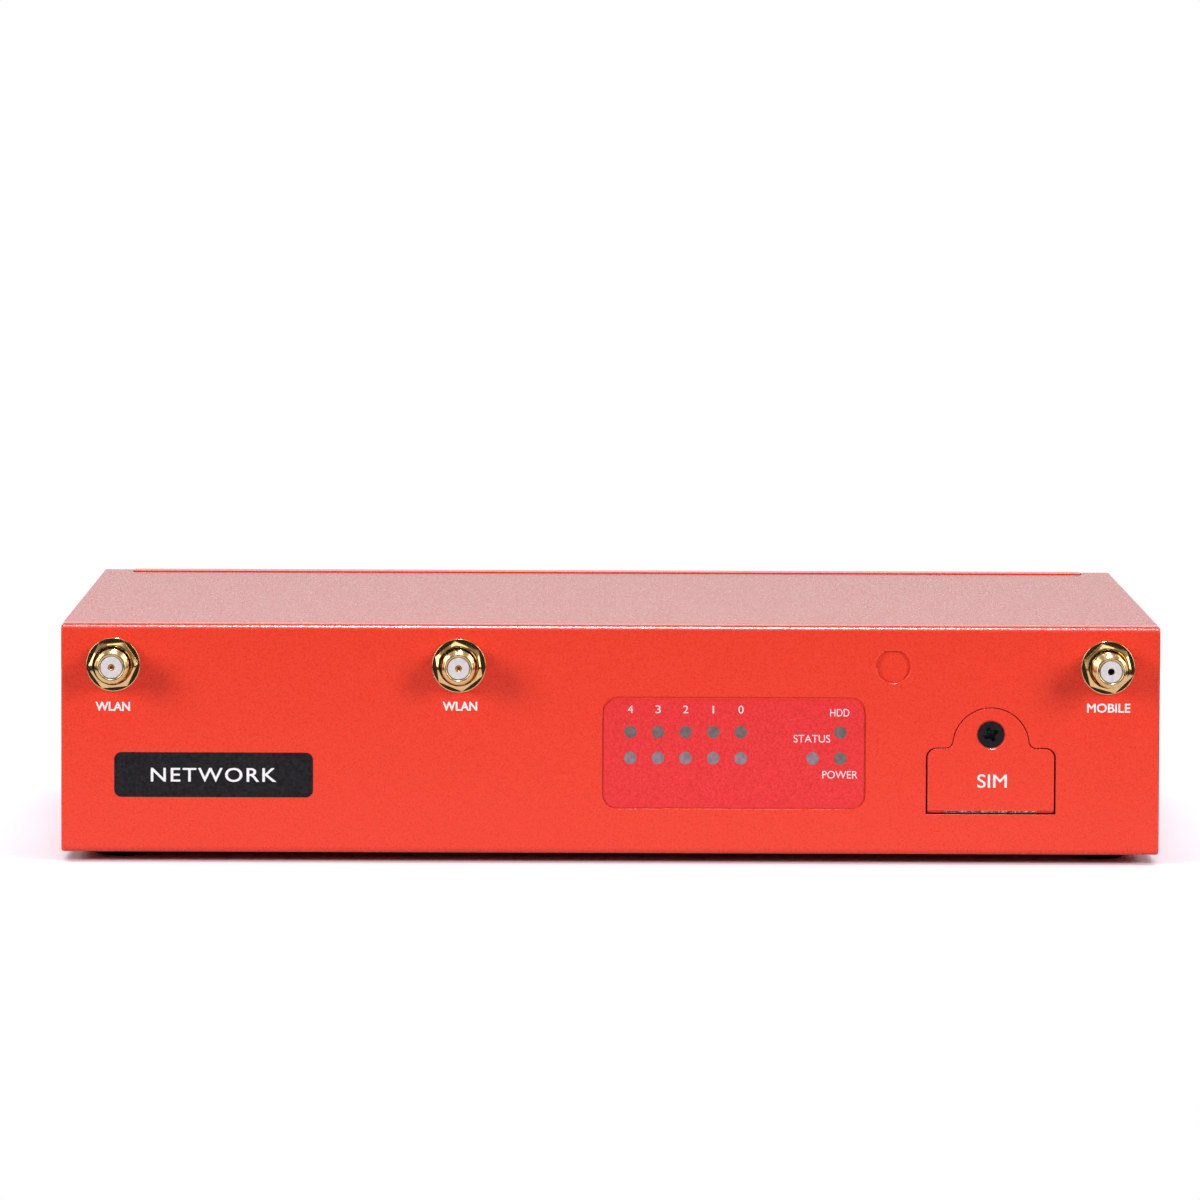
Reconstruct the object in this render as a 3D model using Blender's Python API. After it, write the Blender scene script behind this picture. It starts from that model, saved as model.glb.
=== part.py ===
"""Desktop firewall appliance: a folded sheet-metal case with antenna jacks, lamps and a SIM door in
front, network jacks behind, and the boards that they belong to inside.

Units are metres. +X runs to the right of the front, +Y from front to back, +Z up. The world origin is
the centre of the bounding box's bottom. Every piece is a child of the empty "case_frame", whose own
origin is on the case's front plane, in the middle of its width, at the underside of its bottom sheet:
below, x is measured from the middle, y is the depth behind the front plane and z the height above
that underside.
"""

import math

import bmesh
import bpy
from mathutils import Matrix, Vector

MM = 0.001

# Driving dimensions of the case
CASE_WIDTH = 210 * MM
CASE_DEPTH = 150 * MM
CASE_HEIGHT = 43.8 * MM
SHEET = 1.0 * MM
BEND = 1.4 * MM
SIDE_EDGE = 0.45 * MM
GAP = 0.3 * MM
FOOT_HEIGHT = 2.0 * MM
HALF = CASE_WIDTH / 2

# Folded rims of the chassis, against which the cover closes
PAN_DEPTH = 20.0 * MM
FRONT_RIM = 6.0 * MM
REAR_RIM = 7.0 * MM
REAR_RIM_HALF = 98.5 * MM
REAR_RIM_PROUD = 0.25 * MM
SIDE_FLANGE = 9.0 * MM

# What stands out of the case in front and behind
ANTENNA_Z = 36.0 * MM
ANTENNAS = {"wlan_left": (-95.0 * MM, 7.6 * MM), "wlan_middle": (-29.0 * MM, 7.6 * MM),
            "mobile": (95.0 * MM, 10.0 * MM)}
FRONT_PROUD = 10.0 * MM
BUTTON_PROUD = 1.5 * MM

# A blanked-off hole for one more antenna: round with a flat top, pressed part of the way in
KNOCK_OUT = (54.0 * MM, 36.0 * MM)
KNOCK_OUT_RADIUS = 3.23 * MM
KNOCK_OUT_FLAT = 2.75 * MM
KNOCK_OUT_DEPTH = 0.45 * MM

# Lamps and their label
LABEL_CENTRE = (23.65 * MM, 19.4 * MM)
LABEL_SIZE = (50.1 * MM, 21.2 * MM)
LABEL_CORNER = 2.7 * MM
LABEL_THICK = 0.2 * MM
POCKET_DEPTH = 0.45 * MM
LAMP_RADIUS = 1.2 * MM
LAMP_ROWS = (23.4 * MM, 18.4 * MM)
PORT_LAMPS_X = [(3.8 + 5.28 * i) * MM for i in range(5)]
PORT_LAMPS = [(x, z) for x in PORT_LAMPS_X for z in LAMP_ROWS]
STATUS_LAMPS = [(43.95 * MM, LAMP_ROWS[0]), (38.65 * MM, LAMP_ROWS[1]), (43.95 * MM, LAMP_ROWS[1])]

# SIM door
DOOR_X = 72.75 * MM
DOOR_HALF = 12.1 * MM
DOOR_BOTTOM = 8.5 * MM
DOOR_SHOULDER = 20.3 * MM
DOOR_SHOULDER_RADIUS = 1.8 * MM
DOOR_FILLET = 1.5 * MM
DOOR_DOME = 7.4 * MM
TONGUE_HALF = 8.9 * MM
TONGUE_BOTTOM = 8.1 * MM
TONGUE_REACH = 2.4 * MM
TONGUE_HOOK = 5.8 * MM
WINDOW_BOTTOM = 7.8 * MM
HINGE = (DOOR_X, 0.5 * MM, 7.4 * MM)
DOOR_SCREW_Z = 23.1 * MM

# Mainboard and what stands on it
BOARD_BOTTOM = 8.0 * MM
BOARD_TOP = 9.6 * MM
BOARD_X = (-97.0 * MM, 97.0 * MM)
BOARD_Y = (6.0 * MM, 147.0 * MM)
BOARD_SCREWS = [(x * MM, y * MM) for x in (-88, 88) for y in (16, 116)]
ON_BOARD = BOARD_TOP + GAP

# Rear openings, by the middle of each jack
LAN_X = [(50.0 - 17.0 * i) * MM for i in range(5)]
CONSOLE_X = -40.0 * MM
USB_X = -59.0 * MM
VIDEO_X = -79.0 * MM
DC_X = 88.0 * MM
POWER_X = 71.0 * MM
RESET_X = -93.0 * MM
RJ45_SIZE = (16.0 * MM, 21.0 * MM, 13.4 * MM)
USB_SIZE = (14.6 * MM, 17.6 * MM, 15.8 * MM)
VIDEO_SIZE = (15.0 * MM, 12.0 * MM, 5.9 * MM)
DC_SIZE = (10.0 * MM, 14.0 * MM, 11.0 * MM)
JACK_PROUD = 0.6 * MM

# Vents: where the first slot of a row starts, from one slot to the next, and how many there are
VENT_WIDTH = 2.0 * MM
SIDE_VENTS_Y = (36.0 * MM, 5.0 * MM, 16)
SIDE_VENTS_Z = (16.0 * MM, 32.0 * MM)
REAR_VENTS_X = (-79.0 * MM, 6.0 * MM, 22)
REAR_VENTS_Z = (29.0 * MM, 37.0 * MM)
BOTTOM_VENTS_X = (-46.0 * MM, 6.0 * MM, 16)
BOTTOM_VENTS_Y = (70.0 * MM, 95.0 * MM)

# Fasteners
M3_HOLE = 1.75 * MM
COUNTERSINK = 2.85 * MM
COVER_SCREW_Y = (30.0 * MM, 120.0 * MM)
COVER_SCREW_Z = 5.4 * MM

FRONT_Y = (FRONT_PROUD - BUTTON_PROUD - CASE_DEPTH) / 2

RED = (0.80, 0.052, 0.028)
LABEL_RED = (0.72, 0.045, 0.050)
GOLD = (0.83, 0.57, 0.22)
BLACK = (0.012, 0.012, 0.013)
STEEL = (0.55, 0.56, 0.57)
WHITE = (0.86, 0.86, 0.84)
BOARD_GREEN = (0.012, 0.07, 0.035)
PAINT = dict(colour=RED, roughness=0.42)
GOLD_PLATE = dict(colour=GOLD, roughness=0.18, metallic=1.0)
BLACK_STEEL = dict(colour=BLACK, roughness=0.4, metallic=0.6)
NICKEL = dict(colour=STEEL, roughness=0.28, metallic=1.0)
BOARD_FINISH = dict(colour=BOARD_GREEN, roughness=0.45)


# --- Small toolkit -----------------------------------------------------------------------------

def clear_scene():
    for obj in list(bpy.data.objects):
        bpy.data.objects.remove(obj)


def add_case_frame():
    frame = bpy.data.objects.new("case_frame", None)
    frame.location = (0, FRONT_Y, FOOT_HEIGHT)
    bpy.context.scene.collection.objects.link(frame)
    return frame


def paint(obj, colour, roughness=0.5, metallic=0.0):
    material = bpy.data.materials.new(obj.name)
    material.use_nodes = True
    shader = material.node_tree.nodes["Principled BSDF"]
    shader.inputs["Base Color"].default_value = (*colour, 1)
    shader.inputs["Roughness"].default_value = roughness
    shader.inputs["Metallic"].default_value = metallic
    obj.data.materials.append(material)


def object_from(name, bm, at=(0, 0, 0)):
    """A bmesh in case coordinates becomes an object whose origin is at the given point."""
    bmesh.ops.recalc_face_normals(bm, faces=bm.faces)
    bmesh.ops.translate(bm, verts=bm.verts, vec=-Vector(at))
    mesh = bpy.data.meshes.new(name)
    bm.to_mesh(mesh)
    bm.free()
    obj = bpy.data.objects.new(name, mesh)
    bpy.context.scene.collection.objects.link(obj)
    obj.parent = FRAME
    obj.location = at
    return obj


def piece(name, bm, at=(0, 0, 0), smooth=None, **finish):
    obj = object_from(name, bm, at)
    paint(obj, **finish)
    if smooth:
        obj.data.shade_smooth()
        obj.data.set_sharp_from_angle(angle=math.radians(smooth))
    return obj


def combine(obj, operation, *tools):
    """Adds a Boolean for each tool, a bmesh in case coordinates, which becomes a hidden helper."""
    for bm in tools:
        helper = object_from(f"{obj.name}_{operation.lower()}", bm)
        helper.hide_render = True
        helper.display_type = "WIRE"
        modifier = obj.modifiers.new(operation.title(), "BOOLEAN")
        modifier.operation = operation
        modifier.object = helper
    return obj


def cut(obj, *tools):
    return combine(obj, "DIFFERENCE", *tools)


def join(obj, *tools):
    return combine(obj, "UNION", *tools)


def box(low, high, bm=None):
    """An axis-aligned box between two corners, alone or added to a bmesh."""
    bm = bm or bmesh.new()
    size = [b - a for a, b in zip(low, high)]
    middle = [(a + b) / 2 for a, b in zip(low, high)]
    scale = Matrix.Translation(middle) @ Matrix.Diagonal((*size, 1))
    bmesh.ops.create_cube(bm, size=1, matrix=scale)
    return bm


def rod(x, z, radius, y_low, y_high, sides=16, bm=None):
    """A cylinder along Y, alone or added to a bmesh."""
    bm = bm or bmesh.new()
    along_y = Matrix.Rotation(math.radians(90), 4, "X")
    place = Matrix.Translation((x, (y_low + y_high) / 2, z)) @ along_y
    bmesh.ops.create_cone(bm, cap_ends=True, segments=sides, radius1=radius, radius2=radius,
                          depth=y_high - y_low, matrix=place)
    return bm


def post(x, y, radius, z_low, z_high, sides=16, bm=None):
    """A cylinder along Z, alone or added to a bmesh."""
    bm = bm or bmesh.new()
    place = Matrix.Translation((x, y, (z_low + z_high) / 2))
    bmesh.ops.create_cone(bm, cap_ends=True, segments=sides, radius1=radius, radius2=radius,
                          depth=z_high - z_low, matrix=place)
    return bm


def turned(profile, sides, place):
    """A closed profile of (radius, height) points, turned about +Z and then placed by a matrix.

    Points at radius 0 close the shape on its axis; without them the shape is a ring.
    """
    bm = bmesh.new()
    rings = []
    for radius, height in profile:
        if radius == 0:
            rings.append([bm.verts.new((0, 0, height))])
            continue
        turn = [2 * math.pi * i / sides for i in range(sides)]
        rings.append([bm.verts.new((radius * math.cos(a), radius * math.sin(a), height)) for a in turn])
    for low, high in zip(rings, rings[1:] + rings[:1]):
        if len(low) == len(high) == 1:
            continue
        for i in range(sides):
            j = (i + 1) % sides
            corners = [low[i % len(low)], low[j % len(low)], high[j % len(high)], high[i % len(high)]]
            bm.faces.new(list(dict.fromkeys(corners)))
    bmesh.ops.transform(bm, matrix=place, verts=bm.verts)
    return bm


def facing_front(x, y, z):
    """A matrix that lays +Z along -Y, towards the front, at a point."""
    return Matrix.Translation((x, y, z)) @ Matrix.Rotation(math.radians(90), 4, "X")


def facing_back(x, y, z):
    return Matrix.Translation((x, y, z)) @ Matrix.Rotation(math.radians(-90), 4, "X")


def facing_side(x, y, z, side):
    return Matrix.Translation((x, y, z)) @ Matrix.Rotation(math.radians(90 * side), 4, "Y")


def prism_y(outline, y_low, y_high):
    """An outline of (x, z) points, drawn out along Y."""
    return prism([(x, y_low, z) for x, z in outline], (0, y_high - y_low, 0))


def prism_x(outline, x_low, x_high):
    """An outline of (y, z) points, drawn out along X."""
    return prism([(x_low, y, z) for y, z in outline], (x_high - x_low, 0, 0))


def prism_z(outline, z_low, z_high):
    """An outline of (x, y) points, drawn out along Z."""
    return prism([(x, y, z_low) for x, y in outline], (0, 0, z_high - z_low))


def prism(points, along):
    bm = bmesh.new()
    face = bm.faces.new([bm.verts.new(p) for p in points])
    drawn = bmesh.ops.extrude_face_region(bm, geom=[face])
    top = [v for v in drawn["geom"] if isinstance(v, bmesh.types.BMVert)]
    bmesh.ops.translate(bm, verts=top, vec=along)
    return bm


def arc(centre, radius, start, end, steps):
    """Points on an arc from start to end, in degrees."""
    turn = [math.radians(start + (end - start) * i / steps) for i in range(steps + 1)]
    return [(centre[0] + radius * math.cos(a), centre[1] + radius * math.sin(a)) for a in turn]


def rounded_rectangle(x, z, width, height, radius, steps=4):
    a, b = width / 2 - radius, height / 2 - radius
    corners = [(a, b, 0), (-a, b, 90), (-a, -b, 180), (a, -b, 270)]
    return [p for dx, dz, start in corners
            for p in arc((x + dx, z + dz), radius, start, start + 90, steps)]


# --- Case --------------------------------------------------------------------------------------

def pan_block(inset, bend, steps):
    """The front pan's outside, or its hollow: a block with a bend along the top and bottom of its front."""
    front, back, low, high = inset, PAN_DEPTH - inset, inset, CASE_HEIGHT - inset
    outline = arc((front + bend, low + bend), bend, 180, 270, steps) + [(back, low), (back, high)]
    outline += arc((front + bend, high - bend), bend, 90, 180, steps)
    return prism_x(outline, -HALF + inset, HALF - inset)


def front_pan():
    """The front wall with its four rims, as a shell open towards the back."""
    chassis = object_from("chassis", pan_block(0, BEND, 3))
    front_view = rounded_rectangle(0, CASE_HEIGHT / 2, CASE_WIDTH, CASE_HEIGHT, SIDE_EDGE, 3)
    combine(chassis, "INTERSECT", prism_y(front_view, -SHEET, PAN_DEPTH + SHEET))
    beyond = box((-HALF - SHEET, FRONT_RIM, -SHEET), (HALF + SHEET, PAN_DEPTH + SHEET, CASE_HEIGHT + SHEET))
    return cut(chassis, pan_block(SHEET, BEND - SHEET, 1), beyond)


def floor_and_back():
    """The bottom sheet and the rear wall with its top rim, drawn out across the width."""
    top = CASE_HEIGHT + REAR_RIM_PROUD
    back = CASE_DEPTH
    inner = BEND - SHEET
    start = FRONT_RIM / 2
    outline = [(start, 0)]
    outline += arc((back - BEND, BEND), BEND, -90, 0, 3)
    outline += arc((back - BEND, top - BEND), BEND, 0, 90, 3)
    outline += [(back - REAR_RIM, top), (back - REAR_RIM, top - SHEET)]
    outline += arc((back - BEND, top - BEND), inner, 90, 0, 1)
    outline += arc((back - BEND, BEND), inner, 0, -90, 1)
    outline += [(start, SHEET)]
    return prism_x(outline, -HALF + SHEET + GAP, HALF - SHEET - GAP)


def side_flange(side):
    outer = side * (HALF - SHEET - GAP)
    inner = outer - side * SHEET
    low, high = sorted((outer, inner))
    return box((low, FRONT_RIM + 2 * MM, SHEET / 2), (high, CASE_DEPTH - 10 * MM, SIDE_FLANGE))


def boss(x, y):
    """An embossed boss that carries the mainboard."""
    return post(x, y, 3.4 * MM, SHEET / 2, BOARD_BOTTOM - GAP)


def wall_cutters():
    """Every opening of the front wall except the SIM door's window."""
    lamps = bmesh.new()
    for x, z in PORT_LAMPS + STATUS_LAMPS:
        rod(x, z, LAMP_RADIUS + GAP / 2, -SHEET, 2 * SHEET, 12, lamps)
    antennas = bmesh.new()
    for x, _ in ANTENNAS.values():
        rod(x, ANTENNA_Z, 3.45 * MM, -SHEET, 2 * SHEET, 24, antennas)
    pocket = prism_y(rounded_rectangle(*LABEL_CENTRE, LABEL_SIZE[0] + GAP, LABEL_SIZE[1] + GAP,
                                       LABEL_CORNER + GAP / 2), -SHEET, POCKET_DEPTH)
    return [lamps, antennas, pocket, prism_y(knock_out_outline(), -SHEET, KNOCK_OUT_DEPTH)]


def knock_out_outline():
    flat = math.degrees(math.asin(KNOCK_OUT_FLAT / KNOCK_OUT_RADIUS))
    return arc(KNOCK_OUT, KNOCK_OUT_RADIUS, 180 - flat, 360 + flat, 20)


def starts(first, pitch, count):
    return [first + pitch * i for i in range(count)]


def rear_cutters():
    y_low, y_high = CASE_DEPTH - 2 * SHEET, CASE_DEPTH + SHEET
    square = bmesh.new()
    jacks = [(x, RJ45_SIZE) for x in LAN_X + [CONSOLE_X]]
    jacks += [(USB_X, USB_SIZE), (VIDEO_X, VIDEO_SIZE), (DC_X, DC_SIZE)]
    for x, (width, _, height) in jacks:
        box((x - width / 2 - GAP, y_low, ON_BOARD - GAP),
            (x + width / 2 + GAP, y_high, ON_BOARD + height + GAP), square)
    for x in starts(*REAR_VENTS_X):
        box((x, y_low, REAR_VENTS_Z[0]), (x + VENT_WIDTH, y_high, REAR_VENTS_Z[1]), square)
    round_holes = rod(POWER_X, ON_BOARD + 5 * MM, 3.6 * MM, y_low, y_high, 20)
    rod(RESET_X, ON_BOARD + 3 * MM, 1.1 * MM, y_low, y_high, 12, round_holes)
    return [square, round_holes]


def bottom_cutters():
    holes = bmesh.new()
    for x, y in BOARD_SCREWS:
        post(x, y, M3_HOLE, -SHEET, BOARD_BOTTOM, 12, holes)
    slots = bmesh.new()
    for x in starts(*BOTTOM_VENTS_X):
        box((x, BOTTOM_VENTS_Y[0], -SHEET), (x + VENT_WIDTH, BOTTOM_VENTS_Y[1], 2 * SHEET), slots)
    return [holes, slots]


def side_screw_holes(radius):
    holes = []
    for y in COVER_SCREW_Y:
        bm = bmesh.new()
        place = facing_side(0, y, COVER_SCREW_Z, 1)
        bmesh.ops.create_cone(bm, cap_ends=True, segments=16, radius1=radius, radius2=radius,
                              depth=CASE_WIDTH + 2 * SHEET, matrix=place)
        holes.append(bm)
    return holes


def add_chassis():
    chassis = front_pan()
    join(chassis, floor_and_back(), side_flange(-1), side_flange(1))
    join(chassis, *[boss(x, y) for x, y in BOARD_SCREWS])
    corner_z = CASE_HEIGHT - SHEET - GAP
    for side in (-1, 1):
        low, high = sorted((side * REAR_RIM_HALF, side * (HALF + SHEET)))
        cut(chassis, box((low, FRONT_RIM + SHEET, corner_z), (high, CASE_DEPTH + SHEET, CASE_HEIGHT + BEND)))
    cut(chassis, *wall_cutters(), prism_y(door_outline(GAP, WINDOW_BOTTOM), -SHEET, 2 * SHEET))
    cut(chassis, *rear_cutters(), *bottom_cutters(), *side_screw_holes(M3_HOLE))
    paint(chassis, **PAINT)


def cover_outline():
    top, edge = CASE_HEIGHT - SIDE_EDGE, SIDE_EDGE
    outline = [(-HALF, 0)]
    outline += arc((-HALF + edge, top), edge, 180, 90, 3)
    outline += arc((HALF - edge, top), edge, 90, 0, 3)
    outline += [(HALF, 0), (HALF - SHEET, 0), (HALF - SHEET, CASE_HEIGHT - SHEET)]
    return outline + [(-HALF + SHEET, CASE_HEIGHT - SHEET), (-HALF + SHEET, 0)]


def countersink(place):
    """A cone for a flat screw head, its wide end just outside the sheet."""
    deep = 1.1 * SHEET
    profile = [(0, -deep), (COUNTERSINK - deep, -deep), (COUNTERSINK + 0.1 * MM, 0.1 * MM), (0, 0.1 * MM)]
    return turned(profile, 20, place)


def add_cover():
    cover = piece("top_cover", prism_y(cover_outline(), FRONT_RIM + GAP, CASE_DEPTH), **PAINT)
    notch = REAR_RIM_HALF + GAP
    cut(cover, box((-notch, CASE_DEPTH - REAR_RIM - GAP, CASE_HEIGHT - 2 * SHEET),
                   (notch, CASE_DEPTH + SHEET, CASE_HEIGHT + SHEET)))
    slots = bmesh.new()
    for y in starts(*SIDE_VENTS_Y):
        box((-HALF - SHEET, y, SIDE_VENTS_Z[0]), (HALF + SHEET, y + VENT_WIDTH, SIDE_VENTS_Z[1]), slots)
    cut(cover, slots)
    for y in COVER_SCREW_Y:
        for side in (-1, 1):
            cut(cover, countersink(facing_side(side * HALF, y, COVER_SCREW_Z, side)))


def flat_screw_profile(head, shank, length):
    """A countersunk screw: its head's face is at height 0 and its point below."""
    rim = 0.12 * MM
    return [(0, 0), (head, 0), (head, -rim), (shank, -rim - (head - shank)), (shank, -length + shank / 3),
            (shank * 0.7, -length), (0, -length)]


def cross_recess(place, width, depth, turn=0):
    """The cross of a screw head, as two crossing tapered slots."""
    tools = []
    for quarter in (0, 90):
        bm = bmesh.new()
        arm, half = width / 2, 0.22 * width / 2
        box((-arm, -half, -depth), (arm, half, depth), bm)
        for v in bm.verts:
            if v.co.z < 0:
                v.co.x *= 0.45
                v.co.y *= 0.7
        spin = Matrix.Rotation(math.radians(turn + quarter), 4, "Z")
        bmesh.ops.transform(bm, matrix=place @ spin, verts=bm.verts)
        tools.append(bm)
    return tools


def add_cover_screws():
    for side, side_name in ((-1, "left"), (1, "right")):
        for y, end_name in zip(COVER_SCREW_Y, ("front", "rear")):
            at = (side * (HALF - 0.1 * MM), y, COVER_SCREW_Z)
            place = facing_side(*at, side)
            screw = piece(f"cover_screw_{side_name}_{end_name}",
                          turned(flat_screw_profile(2.5 * MM, 1.45 * MM, 5 * MM), 16, place),
                          at, 40, **BLACK_STEEL)
            cut(screw, *cross_recess(place, 2.9 * MM, 0.9 * MM, 20 * side))


def add_feet():
    x, inset = 94.7 * MM, 16.0 * MM
    profile = [(0, 0), (3.4, 0), (3.8, 0.25), (4.4, 0.25), (4.75, 0.6), (4.75, 1.82), (0, 1.82)]
    places = {"front_left": (-x, inset), "front_right": (x, inset),
              "rear_left": (-x, CASE_DEPTH - inset), "rear_right": (x, CASE_DEPTH - inset)}
    for name, (foot_x, foot_y) in places.items():
        at = (foot_x, foot_y, -FOOT_HEIGHT)
        points = [(r * MM, h * MM) for r, h in profile]
        piece(f"foot_{name}", turned(points, 24, Matrix.Translation(at)), at, 40,
              colour=BLACK, roughness=0.75)


# --- Antenna jacks -----------------------------------------------------------------------------

def add_antenna(name, x, proud):
    """A bulkhead jack: body with its flange inside the wall, insulator, contact, washer and nut."""
    thread, bore, flange = 3.175 * MM, 2.3 * MM, 4.4 * MM
    place = facing_front(x, 0, ANTENNA_Z)
    at = (x, 0, ANTENNA_Z)
    flange_front, flange_back, tail = -SHEET - GAP, -SHEET - GAP - 2 * MM, -9.5 * MM
    bore_end = proud - 6 * MM
    body = [(0, bore_end), (bore, bore_end), (bore, proud - 0.25 * MM), (bore + 0.2 * MM, proud),
            (thread - 0.35 * MM, proud), (thread, proud - 0.35 * MM), (thread, flange_front),
            (flange, flange_front), (flange, flange_back), (1.9 * MM, flange_back), (1.9 * MM, tail),
            (0, tail)]
    piece(f"{name}_jack", turned(body, 24, place), at, 35, **GOLD_PLATE)
    front, pin = proud - 0.3 * MM, 0.6 * MM
    clear = pin + 0.15 * MM
    insulator = [(clear, bore_end + GAP), (2.08 * MM, bore_end + GAP), (2.08 * MM, front), (clear, front)]
    piece(f"{name}_insulator", turned(insulator, 20, place), at, 35, colour=WHITE, roughness=0.35)
    contact = [(0, bore_end + GAP), (pin, bore_end + GAP), (pin, front - 0.1 * MM),
               (0.25 * MM, front), (0, front)]
    if name == "mobile":
        contact = [(0, bore_end + GAP), (pin, bore_end + GAP), (pin, front - 0.1 * MM),
                   (0.4 * MM, front - 0.1 * MM), (0.4 * MM, front - 3 * MM), (0, front - 3 * MM)]
    piece(f"{name}_contact", turned(contact, 12, place), at, 35, **GOLD_PLATE)
    hole = thread + 0.15 * MM
    washer = [(hole, 0.15 * MM), (5.15 * MM, 0.15 * MM), (5.15 * MM, 0.6 * MM), (hole, 0.6 * MM)]
    piece(f"{name}_washer", turned(washer, 24, place), at, 35, **GOLD_PLATE)
    across = 4.0 * MM / math.cos(math.radians(30))
    low, high = 0.75 * MM, 2.75 * MM
    nut = piece(f"{name}_nut", turned([(across, low), (across, high), (0, high), (0, low)], 6, place),
                at, **GOLD_PLATE)
    cut(nut, rod(x, ANTENNA_Z, hole, -high - MM, 0, 24))


# --- Lamps -------------------------------------------------------------------------------------

def add_label():
    outline = rounded_rectangle(*LABEL_CENTRE, *LABEL_SIZE, LABEL_CORNER)
    y = POCKET_DEPTH - 0.1 * MM
    label = piece("status_label", prism_y(outline, y - LABEL_THICK, y), (LABEL_CENTRE[0], y, LABEL_CENTRE[1]),
                  colour=LABEL_RED, roughness=0.3)
    windows = bmesh.new()
    for x, z in PORT_LAMPS + STATUS_LAMPS:
        rod(x, z, LAMP_RADIUS, 0, SHEET, 12, windows)
    cut(label, windows)


def add_light_pipe(name, lamps):
    """A clear moulding: a block on the mainboard with one rod for each lamp."""
    xs, margin = [x for x, _ in lamps], 2.2 * MM
    front, back = 3.0 * MM, 7.5 * MM
    block = box((min(xs) - margin, front, ON_BOARD), (max(xs) + margin, back, LAMP_ROWS[0] + margin))
    pipe = piece(name, block, (sum(xs) / len(xs), front, ON_BOARD), colour=(0.8, 0.82, 0.82), roughness=0.15)
    rods = bmesh.new()
    for x, z in lamps:
        rod(x, z, LAMP_RADIUS - 0.15 * MM, POCKET_DEPTH + 0.05 * MM, front + MM, 12, rods)
    join(pipe, rods)


# --- SIM door and what is behind it ------------------------------------------------------------

def door_outline(grow=0.0, bottom=DOOR_BOTTOM):
    """Sides, round shoulders, and a round lug that runs into them through small fillets.

    grow moves the outline outwards, for the window that the door closes.
    """
    half, shoulder = DOOR_HALF + grow, DOOR_SHOULDER + grow
    dome, fillet, corner = DOOR_DOME + grow, DOOR_FILLET - grow, DOOR_SHOULDER_RADIUS + grow
    fillet_z = shoulder + fillet
    fillet_x = math.sqrt((dome + fillet) ** 2 - (fillet_z - DOOR_SHOULDER) ** 2)
    meet = math.degrees(math.atan2(fillet_z - DOOR_SHOULDER, fillet_x))
    right = [(half, bottom)]
    right += arc((half - corner, shoulder - corner), corner, 0, 90, 4)
    right += arc((fillet_x, fillet_z), fillet, 270, 180 + meet, 4)
    right += arc((0, DOOR_SHOULDER), dome, meet, 90, 8)[1:]
    left = [(-x, z) for x, z in reversed(right[:-1])]
    return [(DOOR_X + x, z) for x, z in right + left]


def tongue():
    """The hooked tongue: over the window's sill, then down behind the wall."""
    outline = [(0, TONGUE_BOTTOM + 0.4 * MM), (0.4 * MM, TONGUE_BOTTOM), (TONGUE_REACH - SHEET, TONGUE_BOTTOM),
               (TONGUE_REACH - SHEET, TONGUE_HOOK), (TONGUE_REACH, TONGUE_HOOK),
               (TONGUE_REACH, TONGUE_BOTTOM + 0.6 * MM), (TONGUE_REACH - 0.4 * MM, TONGUE_BOTTOM + SHEET),
               (SHEET, TONGUE_BOTTOM + SHEET), (SHEET, TONGUE_BOTTOM + 2 * SHEET),
               (0, TONGUE_BOTTOM + 2 * SHEET)]
    return prism_x(outline, DOOR_X - TONGUE_HALF, DOOR_X + TONGUE_HALF)


def add_sim_door():
    door = piece("sim_door", prism_y(door_outline(), 0, SHEET), HINGE, **PAINT)
    cut(join(door, tongue()), countersink(facing_front(DOOR_X, 0, DOOR_SCREW_Z)))


def add_door_screw():
    at = (DOOR_X, 0.1 * MM, DOOR_SCREW_Z)
    place = facing_front(*at)
    profile = flat_screw_profile(2.52 * MM, 1.45 * MM, 4.2 * MM)
    screw = piece("sim_door_screw", turned(profile, 20, place), at, 40, **BLACK_STEEL)
    cut(screw, *cross_recess(place, 2.9 * MM, 0.9 * MM, 28))


def add_sim_bracket():
    """An arch welded behind the window's edge: it stops the door and takes its screw."""
    front = SHEET + GAP
    plate = box((DOOR_X - 15 * MM, front, 10.4 * MM), (DOOR_X + 15 * MM, front + SHEET, 31 * MM))
    bracket = piece("sim_bracket", plate, (DOOR_X, front, DOOR_SCREW_Z), **NICKEL)
    cut(bracket, box((DOOR_X - 10.5 * MM, 0, 9 * MM), (DOOR_X + 10.5 * MM, 4 * MM, 18.4 * MM)),
        rod(DOOR_X, DOOR_SCREW_Z + 0.1 * MM, 2.1 * MM, 0, 4 * MM, 20))


def add_sim_socket():
    low = (DOOR_X - 9 * MM, 9 * MM, ON_BOARD)
    high = (DOOR_X + 9 * MM, 35 * MM, ON_BOARD + 3.4 * MM)
    socket = piece("sim_socket", box(low, high), (DOOR_X, low[1], low[2]), **NICKEL)
    cut(socket, box((DOOR_X - 7.8 * MM, 8 * MM, ON_BOARD + 0.9 * MM),
                    (DOOR_X + 7.8 * MM, 33 * MM, ON_BOARD + 2.3 * MM)))


def add_sim_card():
    """A 25 by 15 mm card with one clipped corner."""
    half, front, length, clip = 7.5 * MM, 6.0 * MM, 25 * MM, 3 * MM
    outline = [(DOOR_X - half, front), (DOOR_X + half, front), (DOOR_X + half, front + length),
               (DOOR_X - half + clip, front + length), (DOOR_X - half, front + length - clip)]
    low = ON_BOARD + 1.2 * MM
    piece("sim_card", prism_z(outline, low, low + 0.76 * MM), (DOOR_X, front, low),
          colour=WHITE, roughness=0.4)


# --- Rear jacks and buttons --------------------------------------------------------------------

def rear_block(name, x, size, **finish):
    """A jack's housing on the mainboard, standing a little out of the rear wall."""
    back = CASE_DEPTH + JACK_PROUD
    low = (x - size[0] / 2, back - size[1], ON_BOARD)
    high = (x + size[0] / 2, back, ON_BOARD + size[2])
    return piece(name, box(low, high), (x, back, ON_BOARD), **finish)


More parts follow.
